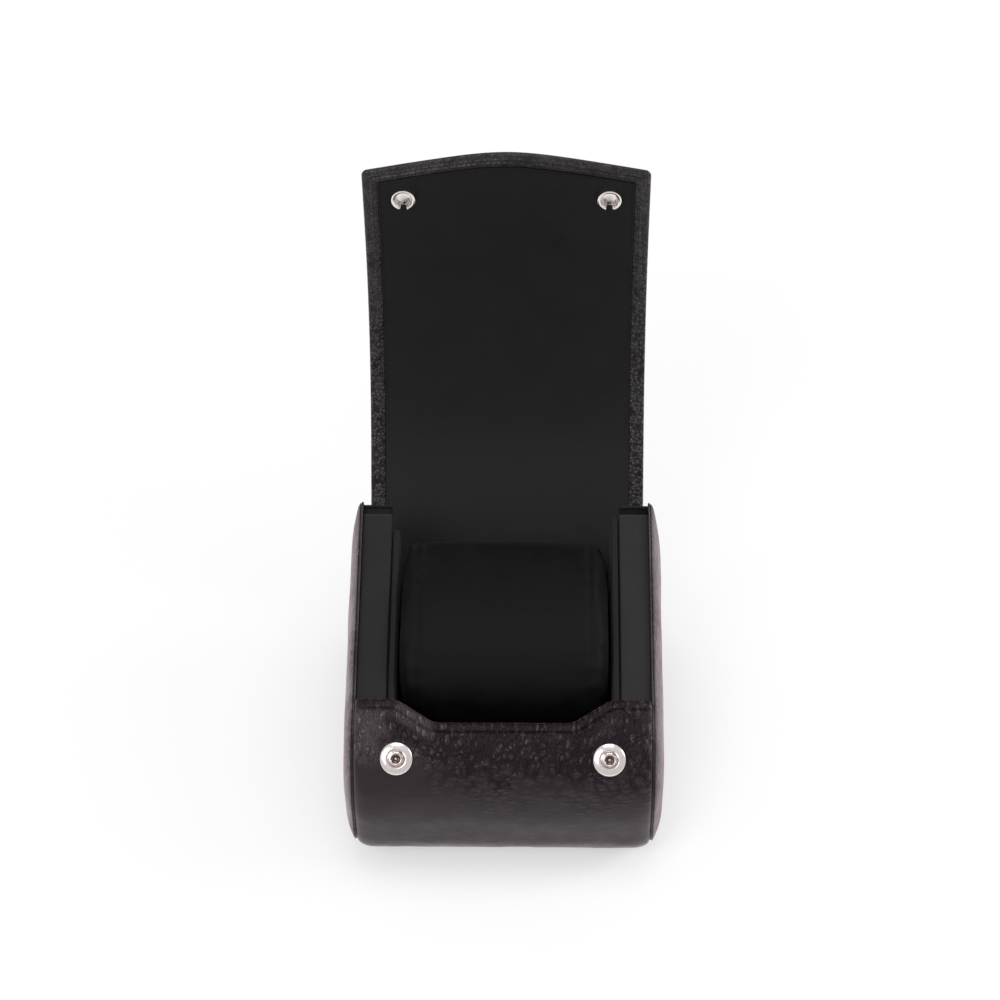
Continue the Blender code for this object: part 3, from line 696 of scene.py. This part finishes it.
def make_wrap():
    side = (0.0, 0.04, 0.15, 0.35, 0.65, 1.05, 1.6, 2.3, 3.1, 4.2, 5.6, 7.5)
    half = HALF_WRAP
    us = columns(half, side, 9.0, 1.6)
    vs = list(EDGE_ROWS) + list(range(len(WRAP_MESH[0])))

    def inset_of(x, v, out):
        """Depth of either face: rounded borders, wider further down, and the pressed line."""
        down = down_of(v)
        border = half - abs(x)
        low = smoothstep(6.0, 46.0, down)
        height = 1.4 + 1.0 * low
        if not out:
            return WRAP_THICK + (height - WRAP_THICK) * roll_off(border, 0.8, down, TOP_ROUND)
        roll = roll_off(border, 1.3 + 4.2 * low, down, TOP_ROUND)
        crease = 0.3 * bell(down - CREASE, 0.28)
        crease -= 0.16 * bell(down - CREASE - 0.75, 0.35)
        band = -0.14 * smoothstep(0.3, 2.0, down) * (1 - smoothstep(2.9, 3.3, down))
        inset = height * roll + crease + band
        soft = wave(x * 0.09, down * 0.12, 3.0)
        soft += 0.5 * wave(x * 0.22, down * 0.25, 8.0)
        return inset + 0.12 + 0.16 * soft * smoothstep(2.5, 8.0, down)

    def sheet(out):
        def at(x, v):
            point = wrap_place(x, v, inset_of(x, v, out))
            return place(x, point.x, point.y)
        return at

    def uv(x, v):
        return (x / UV_UNIT, -down_of(v) / UV_UNIT)

    piece = shell("wrap_hide", us, vs, sheet(True), sheet(False), uv, HIDE)
    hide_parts("wrap_leather", "front_board", "base_board", "back_board")
    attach(piece, "case")


# Flap: one hide in three lengths that bend over the joints

def hinge_line():
    """The back of the case at the low hinge, on the hide's inner face, and its lean."""
    _, _, crown, heel = corners_at(LEATHER)
    share = (HINGE_HEIGHT - heel.y) / (crown.y - heel.y)
    along = crown - heel
    return heel + along * share, atan2(along.x, along.y)


KINK, BACK_TILT = hinge_line()
EASE = 4.2                  # straight run that the low bend takes up on either side


def heading(lean):
    return Vector((sin(lean), cos(lean)))


def swung(lean, now):
    """The way from one lean to another round an arc of unit radius."""
    return Vector((cos(lean) - cos(now), sin(now) - sin(lean)))


def course(s):
    """Point and lean of the open flap at a distance from the low hinge."""
    if s < -EASE:
        return KINK + heading(BACK_TILT) * s, BACK_TILT
    if s < EASE:
        turn = FLAP_LEAN - BACK_TILT
        radius = EASE / tan(turn / 2)
        now = BACK_TILT + turn * (s + EASE) / (2 * EASE)
        return KINK - heading(BACK_TILT) * EASE + swung(BACK_TILT, now) * radius, now
    point = KINK.copy()
    for length, lean, last in ((STRAIGHT, FLAP_LEAN, FLAP_LEAN),
                               (LID_END - STRAIGHT, FLAP_LEAN, FOLD_LEAN),
                               (FLAP_LENGTH - LID_END, FOLD_LEAN, TIP_LEAN)):
        part = min(s, length)
        turn = (lean - last) / length
        now = lean - turn * part
        point += swung(now, lean) / turn if turn else heading(lean) * part
        s -= part
        if s <= 0:
            break
    return point, now


def flap_place(x, s, depth):
    point, lean = course(s)
    point = point + Vector((-cos(lean), sin(lean))) * depth
    return place(x, point.x, point.y)


def tip_at(x):
    """Distance from the low hinge to the eased gable."""
    ease = 14.0
    rise = (sqrt(x * x + ease * ease) - ease) / (hypot(HALF_FLAP, ease) - ease)
    return FLAP_LENGTH - GABLE * rise


BORDER = (0.0, 0.03, 0.12, 0.28, 0.5, 0.8, 1.1, 1.35, 1.55, 1.75, 1.95, 2.15, 2.35, 2.6,
          2.85, 3.1, 3.3, 3.5, 3.62, 3.75, 3.88, 4.05, 4.35, 4.65, 4.8, 4.95, 5.1, 5.4)
LINING_BORDER = (0.0, 0.03, 0.1, 0.22, 0.4, 0.55, 0.75, 1.0, 1.4, 2.2)
LAP = 0.05                  # the lining's edge goes this far under the hem
HIDE_START, LINING_START = -8.0, -0.8
BEND_ZONE = 7.0             # rows are closer together this near to a bend
CLOSE_ROW, PLAIN_ROW, LEAST_ROW = 0.6, 1.7, 0.3


def flap_rows(start, end, bends, first, border):
    """Rows of a sheet of the flap, each its place on the flap or its inset from the tip.

    The tip's last rows follow the gable from the first inset to the edge.
    """
    rows = [start]
    while rows[-1] < end - 1e-6:
        near = min(abs(rows[-1] - bend) for bend in bends)
        rows.append(min(end, rows[-1] + (CLOSE_ROW if near < BEND_ZONE else PLAIN_ROW)))
    if rows[-1] - rows[-2] < LEAST_ROW:
        del rows[-2]
    vs = [(v, None) for v in rows]
    if first is not None:
        vs += [(None, d) for d in (first,) + border[::-1]]
    return vs


def ripple(x, s):
    """Slow waves that hide and lining share."""
    return 0.12 * wave(x * 0.06, s * 0.06, 5.0) * smoothstep(6.0, 14.0, s)


def width_at(s):
    return HALF_WRAP + (HALF_FLAP - HALF_WRAP) * smoothstep(-6.0, 6.0, s)


def make_flap_hide(name, start, end, bend, tip):
    half = HALF_FLAP
    if tip:
        end = FLAP_LENGTH - GABLE - 7.0
    us = columns(half, BORDER, 6.5, 2.2)
    vs = flap_rows(start, end, (bend,), 6.2 if tip else None, BORDER)
    corner, middle = 1.6, -0.25     # radius of the corners, level of the rounded border

    def where(u, v):
        """Place on the flap and its distance from the border, corners rounded."""
        border = half - abs(u)
        x = u * width_at(v[0] if v[0] is not None else FLAP_LENGTH) / half
        if v[1] is None:
            return x, v[0], border, 99.0
        s = tip_at(u) - v[1]
        if border < corner and v[1] < corner:
            a, b = 1 - border / corner, 1 - v[1] / corner
            x -= copysign((a - a * sqrt(1 - b * b / 2)) * corner, u)
            s -= (b - b * sqrt(1 - a * a / 2)) * corner
        return x, s, border, v[1]

    def face(u, v, level, groove):
        """A face at its level, rounded at the border, with its pressed line and lip.

        The hem has a second fine line along the tip.
        """
        x, s, side, top = where(u, v)
        groove *= 0.25 + 0.95 * smoothstep(-1.5, 1.5, side - top)
        edge = min(side, top)
        roll = roll_off(side, 1.0, top, 1.0)
        depth = middle + (level(x, s, edge) - middle) * (1 - roll)
        depth -= groove * bell(edge - HEM_CREASE, 0.2)
        depth += 1.5 * groove * bell(edge - HEM_CREASE + 0.6, 0.27)
        if groove > 0:
            depth += 1.2 * groove * (bell(top - 1.75, 0.18) - bell(top - 2.2, 0.22))
        return flap_place(x, s, depth + ripple(x, s))

    def hem_face(x, s, edge):
        raised = (HEM_FACE - 0.22 * smoothstep(3.7, 4.6, edge)) * smoothstep(2.0, 7.0, s)
        return raised + (0.1 - raised) * smoothstep(4.75, 5.1, edge)

    def back_face(x, s, edge):
        return -LEATHER + (FLAP_OUTER + LEATHER) * smoothstep(-6.0, 6.0, s)

    def uv(u, v):
        x, s = where(u, v)[:2]
        return (x / UV_UNIT, -(WRAP_END + s + FLAP_UV) / UV_UNIT)

    return shell(name, us, vs, lambda u, v: face(u, v, back_face, -0.1),
                 lambda u, v: face(u, v, hem_face, 0.26), uv, HIDE, HEM_UV / UV_UNIT)


def make_flap_lining(name, start, end, bend, tip):
    half = HALF_FLAP - HEM + LAP
    us = columns(half, LINING_BORDER, 3.0, 1.0 if tip else 2.2)
    bends = (bend,)
    if tip:
        end = FLAP_LENGTH - GABLE - HEM - 5.0
        bends = (bend, SOCKET_REACH)
    vs = flap_rows(start, end, bends, 3.6 if tip else None, LINING_BORDER)
    edge, pressed = 0.3, 0.62   # levels at the border and round the sockets

    def where(u, v):
        """Place on the flap, distance from the border, and how far the edge is rolled."""
        s, top = (v[0], 99.0) if v[1] is None else (tip_at(u) - HEM + LAP - v[1], v[1])
        side = half - abs(u)
        return s, min(side, top), roll_off(side, 0.4, top, 0.4)

    def front(x, v):
        s, border, roll = where(x, v)
        soft = wave(x * 0.05, s * 0.07, 11.0)
        level = 0.86 + 0.1 * soft * smoothstep(0.5, 5.0, border)
        level += 0.2 * bell(border - 0.45, 0.3)
        level += ripple(x, s)
        reach = hypot(abs(x) - SNAP_HALF, s - SOCKET_REACH)
        level = pressed + (level - pressed) * smoothstep(3.9, 5.6, reach)
        return flap_place(x, s, edge + (level - edge) * (1 - roll))

    def back(x, v):
        s, _, roll = where(x, v)
        return flap_place(x, s, edge - 0.15 * (1 - roll) + ripple(x, s))

    def uv(x, v):
        return (x / UV_UNIT, -where(x, v)[0] / UV_UNIT)

    return shell(name, us, vs, front, back, uv, LINING)


def make_flap():
    """Three lengths of hide and lining, each round one bend and split halfway between bends."""
    joints = (("back", "case", "flap_back", HIDE_START, SPLITS[0], 0.0, EASE + 0.6),
              ("lid", "flap_back", "flap_lid", SPLITS[0], SPLITS[1], BACK_LENGTH, 3.4),
              ("tab", "flap_lid", "flap_tab", SPLITS[1], FLAP_LENGTH, LID_END, 9.0))
    for name, before, after, start, end, bend, reach in joints:
        tip = name == "tab"
        hide = make_flap_hide("flap_hide_" + name, start, end, bend, tip)
        low = LINING_START if name == "back" else start
        smooth = make_flap_lining("flap_inside_" + name, low, end, bend, tip)
        point, lean = course(bend)
        for piece, node, slot in ((hide, "flap_leather_" + name, "grained_leather"),
                                  (smooth, "flap_lining_" + name, "smooth_lining")):
            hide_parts(node)
            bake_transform(piece)


# Side walls, inner boards and padded ends

# The carved back end of the rims: the bead's height and painted highlight, the painted shade in
# the channel, and the painted light on the rest of the rim
RIM_CARVING = {"left": (0.12, 0.45, 0.15), "right": (0.45, 0.8, 0.23)}


def make_walls(side, name):
    """A wall with a channel and a bead across its rim's back end, and its inner board."""
    edge = 0.5
    steps = (0.0, 0.08, 0.3, 0.65, 1.0)
    rounds = [(edge * (1 - cos(t * pi / 2)), edge * (1 - sin(t * pi / 2))) for t in steps]
    profile = [(WALL_INNER + out, into) for out, into in rounds]
    profile += [(x, 0.0) for x in (39.4, 41.4, 43.4, 44.9)]
    profile += [(HALF_WRAP - out * 0.5, into * 0.5) for out, into in rounds[::-1]]
    rings, uvs, painted_shadings = [], [], []
    bead, shade, painted_rim_light = RIM_CARVING[name]
    for x, into in profile:
        ring = side_ring(WALL_INSET + into, RIM_LIFT)
        spots, values = [], []
        for point, along in ring:
            raised = value = 0.0
            if along is not None:
                on_rim = smoothstep(0.0, 0.4, x - WALL_INNER)
                channel = smoothstep(0.15, 0.7, along) * (1 - smoothstep(2.5, 3.0, along))
                ridge = bell(along - 3.4, 0.3)
                slow = wave(x * 0.2, along * 0.08, 2.0 * side)
                raised = on_rim * (0.1 * slow + bead * ridge - channel)
                # Painted light on the rim and the bead, painted shade in the channel
                painted_light = painted_rim_light * (1 - channel)
                value = on_rim * (shade * channel - bead * ridge - painted_light)
            spots.append(place(side * x, point.x, point.y + raised))
            values.append(value)
        rings.append(spots)
        painted_shadings.append(values)
        uvs.append([(x / UV_UNIT + 0.3 * side, p.x / UV_UNIT) for p, _ in ring])
    wall = stack("wall_" + name, rings, uvs, LINING, painted_shadings=painted_shadings)
    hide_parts("wall_lining_" + name, "wall_core_" + name)
    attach(wall, "case")

    inset = WALL_INSET + 0.3
    half = (BOARD_OUTER - BOARD_INNER) / 2
    middle = (BOARD_OUTER + BOARD_INNER) / 2
    rings, uvs = [], []
    for angle in [radians(a) for a in range(-90, 91, 15)]:
        x = middle + half * sin(angle)
        into = 0.55 * (1 - cos(angle)) ** 1.5
        ring = side_ring(inset + into, RIM_LIFT, BOARD_SETBACK[name])
        rings.append([place(side * x, p.x, p.y) for p, _ in ring])
        uvs.append([(x / UV_UNIT + 0.7 * side, p.x / UV_UNIT) for p, _ in ring])
    board = stack("inner_board_soft_" + name, rings, uvs, LINING)
    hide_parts("inner_board_" + name)
    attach(board, "case")


def make_end(side, name):
    """Padded end: a thin lip beside the rim, a pressed line, and the pillowed cover."""
    profile = [(46.7, 0.8, 1.0), (46.5, 0.5, 1.0), (46.46, 0.2, 1.0), (46.56, 0.0, 1.0),
               (46.78, -0.1, 1.0), (47.0, -0.04, 1.0), (47.14, 0.14, 1.0), (47.2, 0.4, 0.0),
               (47.34, 0.46, 0.0), (47.48, 0.3, 0.0)]
    for share in (0.02, 0.05, 0.09, 0.14, 0.2, 0.28, 0.38, 0.5, 0.64, 0.8, 1.0, 1.2):
        t = min(1.0, share)
        rise = (SEAM + END_RISE - 47.5) * (1 - (1 - t) ** 2) ** 0.85
        profile.append((47.5 + rise, 0.3 + share * END_RUN, 0.0))
    low = side_ring(END_INSET + 0.6, END_LIFT, crown=END_CROWN)
    rings, uvs = [], []
    for x, into, lip in profile:
        ring = side_ring(END_INSET + into, END_LIFT, crown=END_CROWN)
        spots = []
        for (point, along), (hid, _) in zip(ring, low):
            on_rim = along is not None and point.x > PANEL_SETBACK + 0.5
            crown = along is None and point.y > 60.0
            if lip and not (on_rim or crown):
                spots.append(place(side * (SEAM - 0.1 + 0.05 * (x - 46.4)), hid.x, hid.y))
                continue
            soft = wave(point.x * 0.07, point.y * 0.07, 4.0 * side)
            puff = 0.25 * soft * smoothstep(1.0, 5.0, into)
            spots.append(place(side * (x + puff), point.x, point.y))
        rings.append(spots)
        uvs.append([(p.x / UV_UNIT + 1.5 * side, p.y / UV_UNIT) for p, _ in ring])
    end = stack("padded_end_" + name, rings, uvs, END_HIDE, 60.0)
    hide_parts("side_leather_" + name, "side_pad_" + name)
    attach(end, "case")


# Cushion

VOXEL = 3.5 * MM
CLOTH_FRAMES = 20
CLOTH = {"use_pressure": True, "uniform_pressure_force": 20.0, "mass": 0.002, "quality": 6,
         "tension_stiffness": 15.0, "compression_stiffness": 15.0, "shear_stiffness": 5.0,
         "bending_stiffness": 0.05, "vertex_group_mass": "held"}


def settled(piece):
    """The piece's mesh with its modifiers applied; they come off the piece."""
    graph = bpy.context.evaluated_depsgraph_get()
    mesh = bpy.data.meshes.new_from_object(piece.evaluated_get(graph))
    piece.modifiers.clear()
    return mesh


def swell(piece, held_at, cap):
    """Remesh a closed piece and let it swell as cloth under pressure, by the cap at most.

    A band on either side, this far from the middle, is held by its seam.
    """
    remesh = piece.modifiers.new("remesh", "REMESH")
    remesh.mode = "VOXEL"
    remesh.voxel_size = VOXEL
    mesh = piece.data = settled(piece)
    band = piece.vertex_groups.new(name="held")
    band.add([vertex.index for vertex in mesh.vertices
              if abs(abs(vertex.co.x) / MM - held_at) < 2.0], 1.0, "REPLACE")
    settings = piece.modifiers.new("cloth", "CLOTH").settings
    settings.effector_weights.gravity = 0.0
    for key, value in CLOTH.items():
        setattr(settings, key, value)
    for step in range(1, CLOTH_FRAMES + 1):
        SCENE.frame_set(step)
    swollen = settled(piece)
    SCENE.frame_set(1)
    for vertex, moved in zip(mesh.vertices, swollen.vertices):
        move = moved.co - vertex.co
        vertex.co += move * min(1.0, cap * MM / max(move.length, 1e-9))
    soft = piece.modifiers.new("soft", "SUBSURF")
    soft.levels = soft.render_levels = 2
    piece.data = settled(piece)
    piece.data.shade_smooth()


def make_cushion():
    """A crowned roll of squared oval section, swollen, with a gathered seam near either end."""
    low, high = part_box("cushion")
    size = (high - low) / MM
    centre = (high + low) / 2 / MM
    shrink = 0.9            # room that it swells into
    half, a, b = size.x / 2 - shrink, size.y / 2 - shrink, size.z / 2 - shrink
    power = 2 / 2.7
    corner, crown = 2.4, 0.6
    around, steps = 96, 22
    rings = []
    for t in range(-steps, steps + 1):
        x = sin(t / steps * pi / 2) * half
        into = max(0.0, abs(x) - (half - corner))
        drawn = corner - sqrt(max(0.0, corner ** 2 - into * into)) + crown * (x / half) ** 2
        ring = []
        for step in range(around):
            angle = 2 * pi * step / around
            c, s = cos(angle), sin(angle)
            soft = 0.35 * wave(x * 0.06, c * 2.2, s * 2.2)
            y = centre.y + (a - drawn + soft) * copysign(abs(c) ** power, c)
            z = centre.z + (b - drawn + soft) * copysign(abs(s) ** power, s)
            ring.append(Vector((x, y, z)) * MM)
        rings.append(ring)
    unmapped = [[(0.0, 0.0)] * around] * len(rings)
    roll = stack("cushion_roll", rings, unmapped, CUSHION, 70.0)
    seam = half - 5.0
    swell(roll, seam, 1.1)
    for vertex in roll.data.vertices:
        x, y, z = vertex.co / MM
        angle = atan2(z - centre.z, y - centre.y)
        groove = 0.55 * bell(abs(x) - seam, 0.8)
        gathers = 0.12 * sin(angle * 23 + 2.0 * sin(angle * 5))
        groove += gathers * bell(abs(x) - seam, 2.6)
        y -= groove * cos(angle)
        z -= groove * sin(angle)
        limit = size.x / 2 - 0.05
        vertex.co = Vector((min(limit, max(-limit, x)),
                            min(high.y / MM, max(low.y / MM, y)),
                            min(high.z / MM, max(low.z / MM + 0.05, z)))) * MM
    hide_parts("cushion")
    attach(roll, "cushion")


# Snaps, each turned from (radius, height) pairs

STUD = [(0, -2.4), (1.4, -2.4), (1.4, 0.12), (4.8, 0.12), (5.0, 0.16), (5.1, 0.28),
        (5.05, 0.42), (4.85, 0.56), (4.5, 0.7), (4.0, 0.86), (3.5, 0.97), (3.1, 1.0),
        (2.85, 0.94), (2.65, 0.78), (2.45, 0.62), (2.2, 0.66), (2.0, 0.9), (1.95, 1.3),
        (2.0, 1.8), (2.15, 2.15), (2.28, 2.36), (2.22, 2.56), (2.0, 2.68), (1.75, 2.72),
        (1.55, 2.66), (1.42, 2.5), (1.34, 2.2), (1.26, 1.9), (1.1, 1.7), (0.85, 1.64),
        (0.6, 1.78), (0.45, 2.0), (0.3, 2.12), (0, 2.16)]
SOCKET = [(0, 0.4), (3.6, 0.4), (3.63, 0.9), (3.6, 1.5), (3.78, 1.75), (3.88, 2.05),
          (3.82, 2.32), (3.62, 2.46), (3.3, 2.48), (3.05, 2.38), (2.85, 2.2), (2.74, 1.9),
          (2.72, 1.3), (2.66, 0.86), (2.56, 0.76), (2.42, 0.76), (2.25, 0.86), (1.9, 0.93),
          (1.3, 0.98), (0.6, 1.0), (0, 1.0)]
CAP = [(0, 0.36), (1.2, 0.36), (1.2, -1.72), (5.1, -1.72), (5.4, -1.8), (5.5, -1.98),
       (5.4, -2.2), (5.0, -2.38), (4.2, -2.52), (3.0, -2.62), (1.5, -2.68), (0, -2.7)]


def open_slot(piece, centre, axis):
    """Open a short stretch of a socket's ring on its lower side."""
    floor = 0.6 * MM
    low = axis.cross(Vector((1, 0, 0))).normalized()
    if low.z > 0:
        low = -low
    for vertex in piece.data.vertices:
        local = vertex.co - centre
        height = local.dot(axis)
        flat = local - axis * height
        if height > floor and flat.length > 2.7 * MM and flat.normalized().dot(low) > 0.955:
            vertex.co -= axis * (height - floor)


def make_snaps():
    toe, shoulder, crown, _ = corners_at(0.0)
    bow = arc(shoulder, crown, toe, SHOULDER, 2)[-1] + Vector((SHOULDER, 0.0))
    out = Vector((-cos(SNAP_ANGLE), sin(SNAP_ANGLE)))
    spot = bow + out * SHOULDER
    axis = Vector((0.0, out.x, out.y))
    seat, lean = course(SOCKET_REACH)
    up = Vector((0.0, -cos(lean), sin(lean)))
    kinds = (("snap_stud_", "stud_", STUD, spot, axis, STUD_NICKEL, "case"),
             ("snap_socket_", "socket_", SOCKET, seat, up, NICKEL, "flap_tab"),
             ("snap_cap_", "socket_cap_", CAP, seat, up, CAP_NICKEL, "flap_tab"))
    for side, name in SIDES:
        for title, node, profile, at, line, metal, body in kinds:
            point = place(side * SNAP_HALF, at.x, at.y)
            piece = lathe(title + name, profile, point, line, metal)
            if profile is SOCKET:
                open_slot(piece, point, line)
            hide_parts(node + name)
            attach(piece, body)


# Camera, light and floor, in metres

CAMERA_DISTANCE = 0.7803
LENS, SENSOR = 85.0, 36.0   # in millimetres
LAMP_AIM = (0, 0, 0.04)
LAMPS = (("left", (-1.3, -1.3, 2.4), (1.2, 1.2), 19.5),
         ("right", (2.6, 0.3, 1.7), (1.2, 1.2), 31.0),
         ("top", (0.0, 0.5, 2.9), (1.3, 1.1), 15.5))
FLOOR_HALF, FLOOR_Z = 4.0, -0.0002


def make_camera():
    elevation, yaw, roll = radians(50.0), radians(-1.53), radians(-0.93)
    aim = Vector((-2.0, 51.0, 60.0)) * MM
    forward = Vector((sin(yaw) * cos(elevation),
                      cos(yaw) * cos(elevation), -sin(elevation)))
    right = Vector((cos(yaw), -sin(yaw), 0.0))
    up = right.cross(forward)
    turned = right * cos(roll) + up * sin(roll)
    top = -right * sin(roll) + up * cos(roll)
    data = bpy.data.cameras.new("camera")
    data.lens = LENS
    data.sensor_width = SENSOR
    data.clip_start = 0.01
    camera = put("camera", data)
    camera.matrix_world = (Matrix.Translation(aim - forward * CAMERA_DISTANCE)
                           @ Matrix((turned, top, -forward)).transposed().to_4x4())
    SCENE.camera = camera


def make_lamp(name, spot, size, power):
    data = bpy.data.lights.new(name, "AREA")
    data.shape = "RECTANGLE"
    data.size, data.size_y = size
    data.energy = power
    lamp = put(name, data)
    lamp.location = spot
    lamp.rotation_euler = (Vector(LAMP_AIM) - Vector(spot)).to_track_quat("-Z", "Y").to_euler()


def seen_directly(g, other):
    """1 for camera rays and one other kind of ray."""
    path = g.add("LightPath").outputs
    return g.math("MAXIMUM", path["Is Camera Ray"], path[other])


def mix_surface(g, share, first, second, output):
    mixed = g.add("MixShader", {0: share, 1: first.outputs[0], 2: second.outputs[0]})
    g.feed(g.tree.nodes[output].inputs["Surface"], mixed.outputs[0])


def make_room():
    SCENE.world = bpy.data.worlds.new("studio")
    g = Graph("studio", SCENE.world)
    soft = g.tree.nodes["Background"]
    soft.inputs["Color"].default_value = (1.0, 0.97, 0.98, 1.0)
    soft.inputs["Strength"].default_value = 0.62
    white = g.add("Background", {"Color": (1, 1, 1, 1)})
    mix_surface(g, seen_directly(g, "Is Transmission Ray"), soft, white, "World Output")

    mesh = bpy.data.meshes.new("floor")
    mesh.from_pydata([(x * FLOOR_HALF, y * FLOOR_HALF, FLOOR_Z)
                      for x, y in ((-1, -1), (1, -1), (1, 1), (-1, 1))], [], [(0, 1, 2, 3)])
    g = Graph("floor")
    place_in = g.add("TexCoord").outputs["Object"]
    mottle = g.noise(place_in, 40.0, 2.0)
    g.set(Base_Color=g.blend(mottle, (0.96, 0.96, 0.96, 1), (0.99, 0.99, 0.99, 1)),
          Roughness=0.7, Specular_IOR_Level=0.2)
    glow = g.add("Emission", {"Color": (1, 1, 1, 1), "Strength": 1.0})
    away = g.length(place_in)
    glowing = g.math("MAXIMUM", g.remap(away, 0.052, 0.1, 0.5, 0.8),
                     g.remap(away, 0.3, 1.0, 0.5, 1.0))
    share = g.times(seen_directly(g, "Is Glossy Ray"), glowing)
    mix_surface(g, share, g.tree.nodes["Principled BSDF"], glow, "Material Output")
    mesh.materials.append(g.owner)
    put("floor", mesh)

    for lamp in LAMPS:
        make_lamp(*lamp)


# Assembly

def dress_nodes():
    finish = {"grained_leather": HIDE, "smooth_lining": LINING, "pressed_board": BOARD,
              "foam": FOAM, "polished_nickel": NICKEL}
    slots = {part["node"]: part["material_slot"] for part in frame["record"]["subparts"]}
    for name, node in frame["nodes"].items():
        node.data.materials.clear()
        node.data.materials.append(finish[slots[name]])


SCENE.view_settings.view_transform = "Standard"
make_camera()
make_room()
dress_nodes()
make_wrap()
make_flap()
for sign, label in SIDES:
    make_walls(sign, label)
    make_end(sign, label)
make_cushion()
make_snaps()
